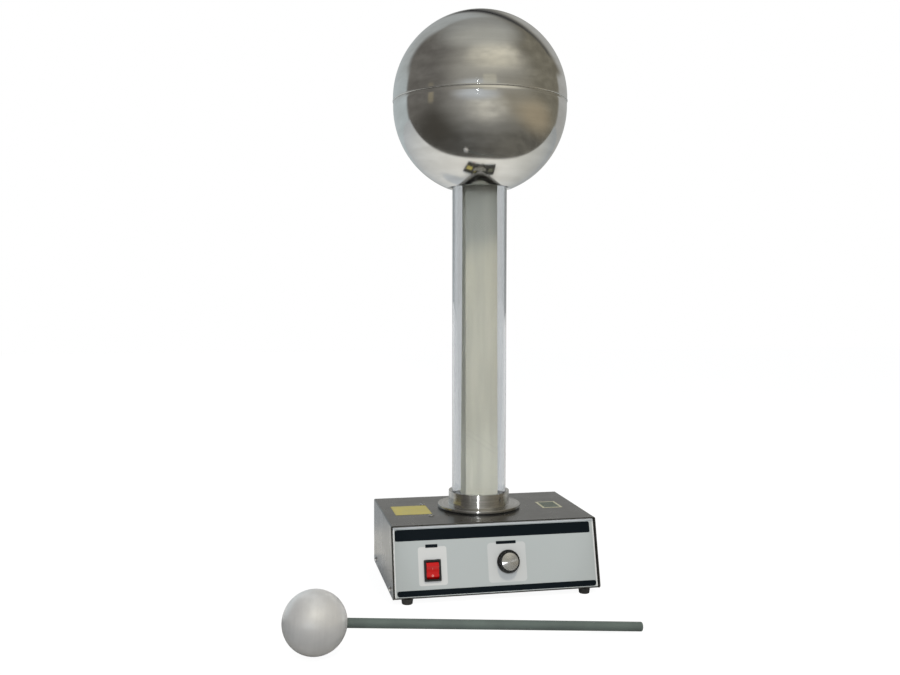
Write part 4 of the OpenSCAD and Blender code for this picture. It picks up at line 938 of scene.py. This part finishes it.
def band_tree() -> bpy.types.NodeTree:
    """The tree that lays a flat band along a closed path."""
    sizes = {"Width": ("Float", 0.048), "Thickness": ("Float", 0.001), "Finish": ("Material", None)}
    tree, w, given, out = new_tree("band_along_path", sizes)
    path = w.put("GeometryNodeMeshToCurve", {"Mesh": given["Shape"]}).outputs[0]
    flat = w.put("GeometryNodeSetCurveNormal", {"Curve": path}, mode="MINIMUM_TWIST").outputs[0]
    section = w.put("GeometryNodeCurvePrimitiveQuadrilateral", {"Width": given["Width"], "Height": given["Thickness"]})
    band = w.put("GeometryNodeCurveToMesh", {"Curve": flat, "Profile Curve": section.outputs[0]}).outputs[0]
    finish_tree(w, band, given["Finish"], out)
    return tree


def turned(outline: Sequence[Point], segments: int = 128, crease: float = 35.0,
           place: Matrix | None = None) -> bpy.types.Mesh:
    """Turns a closed outline round the Z axis.

    Args:
        outline: Corners (radius, height) in millimetres, anticlockwise, so that the faces point outwards.
        segments: Number of pieces round the axis.
        crease: Angle in degrees above which an edge stays sharp.
        place: Where the piece's own axis goes, in metres.

    Returns:
        The mesh, with a UV map named turn whose U runs round the axis.
    """
    shape = bmesh.new()
    uv = shape.loops.layers.uv.new("turn")
    count = len(outline)
    along = [0.0]
    for a, b in zip(outline, [*outline[1:], outline[0]]):
        along.append(along[-1] + math.dist(a, b) * MM)
    rings = []
    for r, z in outline:
        if r < ON_AXIS:
            rings.append([shape.verts.new((0.0, 0.0, z * MM))] * segments)
            continue
        angles = [2 * math.pi * k / segments for k in range(segments)]
        rings.append([shape.verts.new((r * MM * math.cos(t), r * MM * math.sin(t), z * MM)) for t in angles])
    for i in range(count):
        low, high = rings[i], rings[(i + 1) % count]
        if low[0] is low[1] and high[0] is high[1]:
            continue
        for k in range(segments):
            m = (k + 1) % segments
            corners = [(low[k], k, i), (low[m], k + 1, i), (high[m], k + 1, i + 1), (high[k], k, i + 1)]
            kept = [c for n, c in enumerate(corners) if c[0] is not corners[n - 1][0]]
            face = shape.faces.new([c[0] for c in kept])
            for loop, (_, turn, step) in zip(face.loops, kept):
                loop[uv].uv = (turn / segments, along[step])
    bmesh.ops.recalc_face_normals(shape, faces=shape.faces)
    if place:
        shape.transform(place)
    mesh = bpy.data.meshes.new("turned")
    shape.to_mesh(mesh)
    shape.free()
    smooth(mesh, crease)
    return mesh


def cut(mesh: bpy.types.Mesh, cutters: Iterable[bpy.types.Mesh], crease: float = 32.0) -> bpy.types.Mesh:
    """The mesh with each cutter taken out of it.

    Args:
        mesh: The shape that is cut.
        cutters: Closed meshes in the same place.
        crease: Angle in degrees above which an edge stays sharp afterwards.

    Returns:
        The cut mesh.
    """
    held = stood("held", mesh)
    tools = [stood("tool", cutter) for cutter in cutters]
    for tool in tools:
        hole = held.modifiers.new("cut", "BOOLEAN")
        hole.object, hole.operation, hole.solver = tool, "DIFFERENCE", "EXACT"
    made = baked(held)
    for tool in tools:
        bpy.data.objects.remove(tool)
    smooth(made, crease)
    return made


def block(low: Sequence[float], high: Sequence[float], turn: float = 0.0) -> bpy.types.Mesh:
    """Makes a block, used as a cutter.

    Args:
        low: Its lowest corner in millimetres.
        high: Its highest corner.
        turn: Its turn about the Z axis, in degrees.

    Returns:
        The block's mesh.
    """
    shape = bmesh.new()
    bmesh.ops.create_cube(shape, size=1.0)
    middle = [(a + b) / 2 * MM for a, b in zip(low, high)]
    size = [(b - a) * MM for a, b in zip(low, high)]
    spin = Matrix.Rotation(math.radians(turn), 4, "Z")
    shape.transform(spin @ Matrix.Translation(middle) @ Matrix.Diagonal((*size, 1.0)))
    mesh = bpy.data.meshes.new("block")
    shape.to_mesh(mesh)
    shape.free()
    return mesh


def pan_head(shank: float, head: float, height: float, length: float) -> bpy.types.Mesh:
    """A pan-head screw with a cross recess, its head on z = 0.

    Args:
        shank: Radius of the shank in millimetres.
        head: Radius of the head.
        height: Height of the head.
        length: Length of the shank.

    Returns:
        The screw's mesh.
    """
    edge = 0.15
    rise = height - 2 * edge
    ball = (head ** 2 + rise ** 2) / (2 * rise)
    rim = math.degrees(math.asin((ball - rise) / ball))
    crown = arc((0.0, height - ball), ball, rim, 90.0, 12)
    outline = [(0.0, -length), (shank, -length), (shank, 0.0), (head - edge, 0.0), (head, edge), *crown]
    whole = turned(outline, 48, 40.0)
    half, slot = head * 0.55, head * 0.11
    arms = [block((-half, -slot, height * 0.4), (half, slot, height + 1.0), turn) for turn in (0.0, 90.0)]
    return cut(whole, arms)


@dataclass(frozen=True)
class Case:
    """The sheet-metal case: folded tray, top cover, front print, labels, feet and their screws."""

    side_x: float = 150.0
    top_z: float = 106.0
    screw_y: tuple[float, ...] = (-96.0, 62.0)
    screw_z: float = 16.0
    screw: tuple[float, float, float] = (2.0, 4.0, 2.6)
    side_screw_length: float = 7.0
    top_screw_length: float = 6.5
    bracket_screws: tuple[Point, ...] = ((-82.5, -48.0), (-82.5, 28.0))

    def build(self, shop: Shop) -> None:
        """Makes and dresses the case.

        Args:
            shop: The shop that makes and ties the pieces.
        """
        shop.refine("top_cover", CASE_PAINT, 0.25)
        shop.refine("base_tray", CASE_PAINT, 0.2)
        shop.refine("front_overlay", OVERLAY)
        shop.dress(YELLOW_VINYL, "yellow_sticker")
        shop.dress(FOIL_VINYL, "small_sticker")
        shop.refine("rubber_feet", FOOT_RUBBER, 0.3)
        shop.dress(ZINC, "foot_screws", "foot_nuts")
        sides = [
            Place((side * self.side_x, y, self.screw_z), (side, 0.0, 0.0), 20.0 + 37.0 * i)
            for i, (side, y) in enumerate((side, y) for side in (-1.0, 1.0) for y in self.screw_y)
        ]
        screw = pan_head(*self.screw, self.side_screw_length)
        shop.repeat("case_screws", screw, sides, CHROME, ["cover_screws"])
        screw = pan_head(*self.screw, self.top_screw_length)
        tops = [Place((x, y, self.top_z), spin=25.0 + 40.0 * i) for i, (x, y) in enumerate(self.bracket_screws)]
        shop.repeat("motor_mount_screws", screw, tops, CHROME, ["bracket_screws"])


@dataclass(frozen=True)
class PowerSwitch:
    """The red rocker switch in its bezel."""

    edge: float = 0.25

    def build(self, shop: Shop) -> None:
        """Makes and dresses the switch.

        Args:
            shop: The shop that makes and ties the pieces.
        """
        shop.refine("switch_housing", BLACK_PLASTIC, self.edge)
        shop.refine("switch_rocker", RED_PLASTIC, self.edge)


@dataclass(frozen=True)
class SpeedKnob:
    """The speed control with its ribbed, metal-capped knob."""

    at: Point = (16.5, 45.0)
    cap: float = 12.2
    cap_from: float = 10.2
    cap_to: float = 11.6

    def place(self) -> Matrix:
        """Puts a piece drawn along +Z on the knob's axis, with z = 0 on the panel."""
        foot = Vector(PANEL_FOOT) + Vector(PANEL_UP) * self.at[1] + Vector((self.at[0], 0.0, 0.0))
        return Matrix.Translation(foot * MM) @ Matrix.Rotation(math.pi / 2 - PANEL_LEAN, 4, "X")

    def build(self, shop: Shop) -> None:
        """Makes and dresses the knob and the control behind it.

        Args:
            shop: The shop that makes and ties the pieces.
        """
        shop.refine("speed_knob", BLACK_PLASTIC, 0.15, 40.0)
        low, top, r = self.cap_from, self.cap_to, self.cap
        disc = [(0.0, low), (r, low), (r, top - 0.3), (r - 0.1, top - 0.1), (r - 0.3, top), (0.0, top)]
        shop.adopt("knob_disc", turned(disc, 96, 40.0, self.place()), CAP_METAL, ["knob_cap"])
        shop.dress(ZINC, "control_shaft", "potentiometer_nut")
        shop.dress(BRASS, "potentiometer")


@dataclass(frozen=True)
class Column:
    """The clear tube in its turned flange, and the ring under the dome's neck."""

    tube: tuple[float, float] = (40.9, 38.0)
    bore: float = 41.0
    tube_z: tuple[float, float] = (109.5, 640.0)
    hole: float = 36.0
    disc: float = 62.5
    disc_z: tuple[float, float] = (108.0, 112.0)
    collar: float = 46.0
    collar_top: float = 132.0
    tube_edge: float = 0.3
    flange_edge: float = 0.5
    grub_r: float = 2.0
    grub_z: float = 123.0
    grub_angles: tuple[float, ...] = (-60.0, 60.0, 180.0)

    def build(self, shop: Shop) -> None:
        """Makes and dresses the column.

        Args:
            shop: The shop that makes and ties the pieces.
        """
        outer, inner = self.tube
        foot, end = self.tube_z
        wall = eased([(inner, foot), (outer, foot), (outer, end), (inner, end)], self.tube_edge)
        shop.adopt("clear_tube", turned(wall, 192), ACRYLIC, ["column_tube"])
        (low, top), ease = self.disc_z, self.flange_edge
        outline = eased([
            (self.hole, low), (self.disc, low), (self.disc, top), (self.collar + ease, top), (self.collar, top + ease),
            (self.collar, self.collar_top), (self.bore, self.collar_top), (self.bore, foot), (self.hole, foot),
        ], ease)
        start, stop = self.bore - self.grub_r, self.collar + self.grub_r
        drill = [(0.0, start), (self.grub_r, start), (self.grub_r, stop), (0.0, stop)]
        level = Matrix.Translation((0.0, 0.0, self.grub_z * MM)) @ Matrix.Rotation(math.pi / 2, 4, "Y")
        turns = [Matrix.Rotation(math.radians(a), 4, "Z") for a in self.grub_angles]
        drills = [turned(drill, 32, place=turn @ level) for turn in turns]
        shop.adopt("turned_flange", cut(turned(outline, 192), drills), TURNED_METAL, ["column_flange"])
        shop.dress(BLACK_PLASTIC, "flange_gasket", "neck_bush", "upper_yoke")
        shop.dress(ZINC, "grub_screws", "flange_screws", "neck_screws")


@dataclass(frozen=True)
class BeltDrive:
    """The endless belt with its rollers, combs and drive."""

    width: float = 48.0
    thickness: float = 1.0
    lower: tuple[float, float] = (19.1, 56.0)
    upper: tuple[float, float] = (10.1, 666.0)

    def path(self) -> list[Point]:
        """Works out the middle line of the belt, round both rollers.

        Returns:
            Its points in the YZ plane, in millimetres.
        """
        (r1, z1), (r2, z2) = self.lower, self.upper
        r1, r2 = r1 + self.thickness / 2, r2 + self.thickness / 2
        lean = math.degrees(math.asin((r1 - r2) / (z2 - z1)))
        over = arc((0.0, z2), r2, lean, 180.0 - lean, 32)
        under = arc((0.0, z1), r1, 180.0 - lean, 360.0 + lean, 48)
        left, right = (over[-1], under[0]), (under[-1], over[0])
        runs = [[tuple(Vector(a).lerp(Vector(b), k / 40)) for k in range(1, 40)] for a, b in (left, right)]
        return [*over, *runs[0], *under, *runs[1]]

    def build(self, shop: Shop) -> None:
        """Makes the belt and dresses the drive.

        Args:
            shop: The shop that makes and ties the pieces.
        """
        points = self.path()
        loop = bpy.data.meshes.new("belt_path")
        count = len(points)
        loop.from_pydata([(0.0, y * MM, z * MM) for y, z in points], [(i, (i + 1) % count) for i in range(count)], [])
        holder = stood("belt_path", loop)
        sizes = {"Width": self.width * MM, "Thickness": self.thickness * MM, "Finish": BELT_WEB.material()}
        run_tree(holder, band_tree(), sizes)
        mesh = baked(holder)
        smooth(mesh, 40.0)
        shop.adopt("endless_belt", mesh, BELT_WEB, ["belt"])
        shop.dress(NYLON, "lower_roller", "upper_roller")
        shop.dress(ZINC, "lower_axle", "upper_axle", "motor_shaft", "shaft_coupling", "coupling_screws",
                   "motor_screws", "lower_bearings", "upper_bearings", "comb_bracket", "motor_bracket",
                   "yoke_left", "yoke_right")
        shop.dress(COPPER, "lower_comb", "upper_comb")
        shop.dress(BRASS, "comb_bar", "collector_strap")
        shop.dress(MOTOR_STEEL, "motor_housing")


@dataclass(frozen=True)
class Dome:
    """The two spun halves of the hollow dome."""

    radius: float = 130.0
    sheet: float = 1.2
    seam: float = 716.0
    lower_rim: float = 6.0
    upper_rim: float = 5.0
    neck: float = 45.0
    neck_height: float = 20.0
    roll: float = 3.0
    lip: float = 41.6
    joggle: float = 6.0
    fit: float = 0.2
    bead: float = 1.2
    oversize: float = 0.3
    groove: float = 0.6

    def lower_outline(self) -> list[Point]:
        """Draws the lower half: lip, neck, rolled edge, bowl, rim and joggle, and back inside.

        Returns:
            Its section, as radius and height.
        """
        t, mid = self.sheet, self.seam - self.lower_rim
        roll_x = self.neck + self.roll
        roll_z = mid - math.sqrt((self.radius - self.roll) ** 2 - roll_x ** 2)
        top = roll_z + self.neck_height
        meet = math.degrees(math.atan2(roll_z - mid, roll_x))
        step = self.radius - t - self.fit
        return [
            (self.lip, top - t), (self.neck, top - t),
            *arc((roll_x, roll_z), self.roll, 180.0, 360.0 + meet, 12),
            *arc((0.0, mid), self.radius, meet, 0.0, 96)[1:],
            (self.radius, self.seam - self.groove), (self.radius - self.groove, self.seam),
            (step, self.seam), (step, self.seam + self.joggle),
            (step - t, self.seam + self.joggle), (step - t, self.seam - t), (self.radius - t, self.seam - t),
            *arc((0.0, mid), self.radius - t, 0.0, meet, 96),
            *arc((roll_x, roll_z), self.roll - t, 360.0 + meet, 180.0, 8)[1:],
            (self.neck + t, top), (self.lip, top),
        ]

    def upper_outline(self) -> list[Point]:
        """Draws the upper half: rim with its bead, and the cap.

        Returns:
            Its section, as radius and height.
        """
        r, mid = self.radius + self.oversize, self.seam + self.upper_rim
        bead_x, bead_z = r - self.bead / 2, self.seam + self.bead
        return [
            (r - self.sheet, self.seam), (r - self.groove, self.seam),
            *arc((bead_x, bead_z), self.bead, -60.0, 60.0, 8),
            *arc((0.0, mid), r, 0.0, 90.0, 128),
            *arc((0.0, mid), r - self.sheet, 90.0, 0.0, 96),
        ]

    def build(self, shop: Shop) -> None:
        """Makes and dresses both halves.

        Args:
            shop: The shop that makes and ties the pieces.
        """
        shop.adopt("dome_bowl", turned(self.lower_outline(), 256, 50.0), DOME_METAL, ["dome_lower"])
        shop.adopt("dome_cap", turned(self.upper_outline(), 256, 50.0), DOME_METAL, ["dome_upper"])


@dataclass(frozen=True)
class Wand:
    """The discharge wand: hollow ball, stud, nut and rod."""

    origin: tuple[float, float, float] = (-267.0, -284.0, 39.0)
    tilt: float = 4.5603
    ball: float = 39.0
    wall: float = 1.5
    dimple: float = 9.0
    dimple_slope: float = 45.0
    stud: float = 3.0
    stud_depth: float = 14.0
    rod_seat: float = 1.0
    rod_edge: float = 1.0
    rod: float = 6.0
    reach: float = 415.0

    def place(self) -> Matrix:
        """Puts a piece drawn along +Z on the wand's axis."""
        move = Matrix.Translation([c * MM for c in self.origin])
        return move @ Matrix.Rotation(math.radians(90.0 + self.tilt), 4, "Y")

    def build(self, shop: Shop) -> None:
        """Makes and dresses the wand.

        Args:
            shop: The shop that makes and ties the pieces.
        """
        rim = math.degrees(math.acos(self.dimple / self.ball))
        rim_z = self.ball * math.sin(math.radians(rim))
        apex = rim_z - self.dimple
        inner = self.ball - self.wall
        cone = apex - self.wall / math.sin(math.radians(self.dimple_slope))
        inner_r = (-2 * cone + math.sqrt(4 * cone ** 2 - 8 * (cone ** 2 - inner ** 2))) / 4
        inner_rim = math.degrees(math.acos(inner_r / inner))
        outline = [
            *arc((0.0, 0.0), self.ball, -90.0, rim, 96), (self.stud, apex + self.stud), (self.stud, cone + self.stud),
            *arc((0.0, 0.0), inner, inner_rim, -90.0, 64),
        ]
        shop.adopt("wand_sphere", turned(outline, 160, 40.0, self.place()), BALL_METAL, ["wand_ball"])
        start, edge = self.ball - self.rod_seat, self.rod_edge
        bottom = start + self.stud_depth
        rod = [
            (0.0, bottom), (self.stud, bottom), (self.stud, start), (self.rod, start),
            *arc((self.rod - edge, self.reach - edge), edge, 0.0, 90.0, 6), (0.0, self.reach),
        ]
        shop.adopt("wand_handle", turned(rod, 64, 40.0, self.place()), ROD_PLASTIC, ["wand_rod"])
        shop.refine("wand_nut", CHROME, 0.2)
        shop.dress(ZINC, "wand_stud")


@dataclass(frozen=True)
class RearPanel:
    """Power inlet, fuse drawer and earth socket."""

    def build(self, shop: Shop) -> None:
        """Dresses the parts on the rear panel.

        Args:
            shop: The shop that makes and ties the pieces.
        """
        shop.refine("power_inlet", BLACK_PLASTIC, 0.3)
        shop.refine("fuse_drawer", BLACK_PLASTIC, 0.2)
        shop.refine("earth_socket", GREEN_PLASTIC, 0.2)
        shop.dress(BRASS, "inlet_pins")
        shop.dress(ZINC, "inlet_screws")


@dataclass(frozen=True)
class Electronics:
    """The speed control's board on its pillars."""

    def build(self, shop: Shop) -> None:
        """Dresses the board and what it carries.

        Args:
            shop: The shop that makes and ties the pieces.
        """
        shop.dress(BOARD, "control_board")
        shop.dress(COMPONENT, "board_parts")
        shop.dress(ZINC, "heatsink")
        shop.dress(BRASS, "board_standoffs")


@dataclass(frozen=True)
class Lamp:
    """One round area lamp, or a spotlight where it has a cone, aimed at a point."""

    name: str
    at: tuple[float, float, float]
    aim: tuple[float, float, float]
    size: float
    power: float
    colour: Rgb
    in_gloss: bool
    cone: float = 0.0
    blend: float = 0.4

    def build(self) -> None:
        """Hangs the lamp and aims it."""
        data = bpy.data.lights.new(self.name, "SPOT" if self.cone else "AREA")
        data.energy, data.color = self.power, self.colour
        if self.cone:
            data.spot_size, data.spot_blend = math.radians(self.cone), self.blend
            data.shadow_soft_size = self.size / 2
        else:
            data.shape, data.size = "DISK", self.size
        lamp = stood(self.name, data)
        lamp.location = self.at
        lamp.rotation_euler = (Vector(self.aim) - Vector(self.at)).to_track_quat("-Z", "Y").to_euler()
        lamp.visible_glossy = self.in_gloss


@dataclass(frozen=True)
class Glow:
    """A soft-edged part of the room that metal sees, by direction from the object.

    The turn is in degrees round from the camera's side, to the right positive. The rise is the sine of the height.
    A squareness of 2 makes an ellipse, and a larger one a box.
    """

    at: Point
    half: Point
    soft: float
    colour: Rgb
    squareness: float = 2.0
    streak: float = 0.0

    def lay(self, w: Wiring, turn: Socket, rise: Socket, grain: Socket, under: Socket) -> Socket:
        """The room's colour with this part laid over it.

        Args:
            w: The wiring of the room's tree.
            turn: The direction's turn.
            rise: The direction's rise.
            grain: The streaks of the room, from 0 to 1.
            under: Colour that the part covers.

        Returns:
            The new colour.
        """
        across = w.math("DIVIDE", w.math("ABSOLUTE", w.math("SUBTRACT", turn, self.at[0])), self.half[0])
        along = w.math("DIVIDE", w.math("ABSOLUTE", w.math("SUBTRACT", rise, self.at[1])), self.half[1])
        powers = [w.math("POWER", part, self.squareness) for part in (across, along)]
        gap = w.math("POWER", w.math("ADD", *powers), 1.0 / self.squareness)
        share = w.drop(gap, 1.0 - self.soft, 1.0 + self.soft)
        if self.streak:
            share = w.math("MULTIPLY", share, w.math("MULTIPLY_ADD", grain, self.streak, 1.0 - self.streak))
        return w.mix(share, under, self.colour)


@dataclass(frozen=True)
class Tones:
    """Uneven colour of one part of the room: its deep and its pale patches, each from left to right."""

    deep: tuple[Rgb, Rgb]
    pale: tuple[Rgb, Rgb]

    def lay(self, w: Wiring, side: Socket, patch: Socket) -> Socket:
        """The colour, by the share of the right side and the share of the pale patches."""
        return w.mix(patch, w.mix(side, *self.deep), w.mix(side, *self.pale))


@dataclass(frozen=True)
class Studio:
    """Floor, surroundings, lamps and camera."""

    eye: tuple[float, float, float] = (-0.337635, -1.427399, 0.42607)
    yaw: float = 11.579
    pitch: float = -2.418
    roll: float = 0.085
    focal_px: float = 967.474
    frame_px: float = 900.0
    lamps: tuple[Lamp, ...] = (
        Lamp("ceiling_light", (0.32, -1.28, 2.45), (0.0, 0.0, 0.40), 0.28, 34.0, (1.0, 0.90, 0.72), False),
        Lamp("front_fill", (-0.48, -1.45, 0.98), (0.0, 0.0, 0.45), 0.35, 5.0, (0.92, 0.97, 1.0), False),
        Lamp("flash", (-0.405, -1.43, 0.965), (0.0, 0.0, 0.70), 0.016, 0.03, (0.93, 0.97, 1.0), True),
        Lamp("case_spot", (-0.385, -1.43, 0.22), (0.005, -0.08, 0.09), 0.025, 9.0, (0.96, 0.98, 1.0), True, 12.0),
    )
    seen_from: float = 0.716
    floor_reach: float = 6.0
    floor_white: float = 0.86
    walls: Tones = Tones(((0.120, 0.113, 0.104), (0.155, 0.143, 0.112)), ((0.165, 0.158, 0.145), (0.225, 0.210, 0.165)))
    table: Tones = Tones(((0.072, 0.070, 0.064), (0.105, 0.100, 0.086)), ((0.105, 0.104, 0.098), (0.160, 0.152, 0.130)))
    left_sheet: tuple[float, float, float] = (-0.668, 0.312, 0.675)
    right_sheet: tuple[float, float, float] = (0.526, 0.702, 0.480)
    paper_edge: tuple[float, float, float, float] = (0.40, -0.11, 0.06, -0.31)
    glows: tuple[Glow, ...] = (
        Glow((-76.0, -0.42), (34.0, 0.34), 0.8, (0.062, 0.058, 0.050)),
        Glow((-5.0, -0.08), (42.0, 0.46), 0.8, (0.33, 0.325, 0.30)),
        Glow((-1.0, 0.64), (50.0, 0.48), 0.7, (0.36, 0.35, 0.31)),
        Glow((34.0, -0.06), (28.0, 0.26), 0.8, (0.27, 0.25, 0.20)),
        Glow((66.0, -0.18), (26.0, 0.22), 0.7, (0.34, 0.29, 0.205)),
        Glow((11.0, 0.72), (36.0, 0.24), 0.6, (0.74, 0.70, 0.58), streak=0.6),
        Glow((-3.0, -0.18), (22.0, 0.24), 0.7, (0.62, 0.60, 0.53), streak=0.7),
        Glow((-17.0, 0.12), (22.0, 0.11), 0.8, (0.55, 0.58, 0.61), streak=0.2),
        Glow((-0.5, 0.272), (8.5, 0.083), 0.14, (0.50, 0.48, 0.40), squareness=8.0, streak=0.3),
        Glow((-79.0, 0.12), (4.0, 0.10), 0.4, (0.24, 0.215, 0.16), squareness=4.0),
    )

    def build(self) -> None:
        """Sets up the whole studio."""
        self._floor()
        self._world()
        for lamp in self.lamps:
            lamp.build()
        self._camera()
        bpy.context.scene.view_settings.view_transform = "Standard"

    def _camera(self) -> None:
        """Stands the camera where the photograph was taken, with the photograph's own lens."""
        yaw, pitch, roll = (math.radians(a) for a in (self.yaw, self.pitch, self.roll))
        ahead = Vector((math.sin(yaw) * math.cos(pitch), math.cos(yaw) * math.cos(pitch), math.sin(pitch)))
        level = Vector((math.cos(yaw), -math.sin(yaw), 0.0))
        up = level.cross(ahead)
        right, top = level * math.cos(roll) + up * math.sin(roll), up * math.cos(roll) - level * math.sin(roll)
        data = bpy.data.cameras.new("camera")
        data.sensor_width = 36.0
        data.lens = self.focal_px * data.sensor_width / self.frame_px
        data.clip_start, data.clip_end = 0.01, 50.0
        camera = stood("camera", data)
        turn = Matrix((right, top, -ahead)).transposed().to_4x4()
        camera.matrix_world = Matrix.Translation(self.eye) @ turn
        bpy.context.scene.camera = camera

    def _floor(self) -> None:
        """Lays the pale floor: white where it is looked at but for soft shadows, paper and a dim table in metal."""
        mesh = bpy.data.meshes.new("floor")
        corners = [(x * self.floor_reach, y * self.floor_reach, 0.0) for x, y in ((-1, -1), (1, -1), (1, 1), (-1, 1))]
        mesh.from_pydata(corners, [], [(0, 1, 2, 3)])
        material = bpy.data.materials.new("pale_floor")
        material.use_nodes = True
        material.node_tree.nodes.clear()
        w = Wiring(material.node_tree)
        where = w.put("TexCoord").outputs["Object"]
        x, y, _ = w.split(where)
        far = w.vector("LENGTH", where)
        table = w.step(w.math("SUBTRACT", self._edge(w, x, far), y), -0.025, 0.025)
        below = w.vector("SUBTRACT", where, (0.0, 0.0, self.seen_from))
        way = w.vector("NORMALIZE", below)
        paper = w.mix(w.step(x, 0.1, 0.8), (0.78, 0.77, 0.75), (0.60, 0.595, 0.57))
        lit = w.put("BsdfDiffuse", {"Color": paper}).outputs[0]
        dim = w.put("Emission", {"Color": self._front(w, way)}).outputs[0]
        glossy = w.put("LightPath").outputs["Is Glossy Ray"]
        sheet = w.put("MixShader", {0: w.math("MULTIPLY", table, glossy), 1: lit, 2: dim}).outputs[0]
        white = w.put("Emission", {"Color": rgba(WHITE), "Strength": 1.1}).outputs[0]
        plain = w.math("MULTIPLY", self._looked_at(w), self.floor_white)
        both = w.put("MixShader", {0: plain, 1: sheet, 2: white}).outputs[0]
        w.link(both, w.put("OutputMaterial").inputs[0])
        mesh.materials.append(material)
        stood("floor", mesh)

    def _world(self) -> None:
        """Surrounds the object: white where it is looked at, even light on it, and the room in its metal."""
        world = bpy.data.worlds.new("studio")
        bpy.context.scene.world = world
        world.use_nodes = True
        world.node_tree.nodes.clear()
        w = Wiring(world.node_tree)
        rays = w.put("LightPath").outputs
        spread = w.math("GREATER_THAN", rays["Diffuse Depth"], 0.5)
        through = rays["Is Transmission Ray"]
        ambient = w.mix(through, (0.58, 0.62, 0.66), WHITE)
        bounced = w.math("MULTIPLY", rays["Is Glossy Ray"], w.math("SUBTRACT", 1.0, spread))
        mirrored = w.math("MULTIPLY", bounced, w.math("SUBTRACT", 1.0, through))
        colour = w.mix(self._looked_at(w), w.mix(mirrored, ambient, self._room(w)), WHITE)
        sky = w.put("Background", {"Color": colour, "Strength": 1.0})
        w.link(sky.outputs[0], w.put("OutputWorld").inputs[0])

    @staticmethod
    def _looked_at(w: Wiring) -> Socket:
        """1 for what is looked at directly or straight through the clear tube, otherwise 0."""
        rays = w.put("LightPath").outputs
        bounces = w.math("ADD", rays["Glossy Depth"], rays["Diffuse Depth"])
        straight = w.math("MULTIPLY", rays["Is Transmission Ray"], w.math("LESS_THAN", bounces, 0.5))
        return w.math("MAXIMUM", rays["Is Camera Ray"], straight)

    def _edge(self, w: Wiring, x: Socket, far: object) -> Socket:
        """How far back the pale paper begins.

        Args:
            w: The wiring of the tree.
            x: The place across.
            far: The distance, or a plain number where it is so great that the start counts for nothing.

        Returns:
            The paper's start along Y.
        """
        slope, skew, bow, start = self.paper_edge
        across = w.math("MULTIPLY_ADD", x, skew, w.math("MULTIPLY", w.math("ABSOLUTE", x), bow))
        if isinstance(far, float):
            return w.math("ADD", across, slope * far)
        return w.math("ADD", across, w.math("MULTIPLY_ADD", far, slope, start))

    def _front(self, w: Wiring, way: Socket) -> Socket:
        """Colours the dim half of the room, on the camera's side: the table, the room and its lights.

        Args:
            w: The wiring of the tree.
            way: The direction.

        Returns:
            The colour in that direction.
        """
        x, y, z = w.split(way)
        turn = w.math("DEGREES", w.math("ARCTAN2", x, w.math("MULTIPLY", y, -1.0)))
        drawn = w.vector("MULTIPLY", way, (1.3, 1.3, 5.0))
        tone = w.step(w.noise(drawn, 2.2, 5.0, 0.6), 0.30, 0.70)
        side = w.step(x, -0.6, 0.7)
        table, walls = (part.lay(w, side, tone) for part in (self.table, self.walls))
        room = w.mix(w.step(z, -0.55, -0.08), table, walls)
        for glow in self.glows:
            room = glow.lay(w, turn, z, tone, room)
        return room

    def _room(self, w: Wiring) -> Socket:
        """Colours the room by direction: the dim front half, a grey ceiling and pale paper behind and beside.

        Args:
            w: The wiring of the world's tree.

        Returns:
            The colour in the ray's direction.
        """
        way = w.put("TexCoord").outputs["Generated"]
        x, y, z = w.split(way)
        ceiling = w.mix(w.drop(y, -0.2, 0.3), (0.32, 0.325, 0.31), (0.42, 0.42, 0.385))
        room = w.mix(w.step(z, 0.76, 0.97), self._front(w, way), ceiling)
        behind = w.step(w.math("SUBTRACT", y, self._edge(w, x, 1.0)), -0.05, 0.05)
        bulge = w.vector("DOT_PRODUCT", way, self.left_sheet)
        left = w.math("MULTIPLY", w.math("MULTIPLY", behind, w.drop(bulge, 0.89, 0.965)), w.drop(x, -0.05, 0.35))
        room = w.mix(left, room, w.mix(w.step(z, 0.10, 0.60), (0.46, 0.51, 0.525), (0.38, 0.40, 0.40)))
        sheet = w.math("SUBTRACT", w.vector("DOT_PRODUCT", way, self.right_sheet), 0.926)
        inside = w.math("MAXIMUM", w.step(sheet, 0.0, 0.07), w.drop(z, 0.30, 0.38))
        right = w.math("MULTIPLY", w.math("MULTIPLY", behind, inside), w.step(x, -0.05, 0.10))
        room = w.mix(right, room, (0.40, 0.40, 0.385))
        away = w.math("ABSOLUTE", w.math("ADD", sheet, 0.012))
        for width, start, grey in (((0.012, 0.06), 0.46, 0.085), ((0.004, 0.012), 0.50, 0.015)):
            band = w.math("MULTIPLY", w.drop(away, *width), w.step(z, start, 0.56))
            room = w.mix(w.math("MULTIPLY", band, behind), room, (grey, grey, grey))
        return room


def main() -> None:
    """Builds the sub-assemblies in order and sets up the studio."""
    logging.basicConfig(level=logging.INFO, format="%(name)s: %(message)s")
    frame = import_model()
    shop = Shop(frame)
    assemblies = (Case(), PowerSwitch(), SpeedKnob(), Column(), BeltDrive(), Dome(), Wand(), RearPanel(), Electronics())
    for assembly in assemblies:
        LOG.info("building %s", type(assembly).__name__)
        assembly.build(shop)
    Studio().build()


if __name__ == "__main__":
    main()
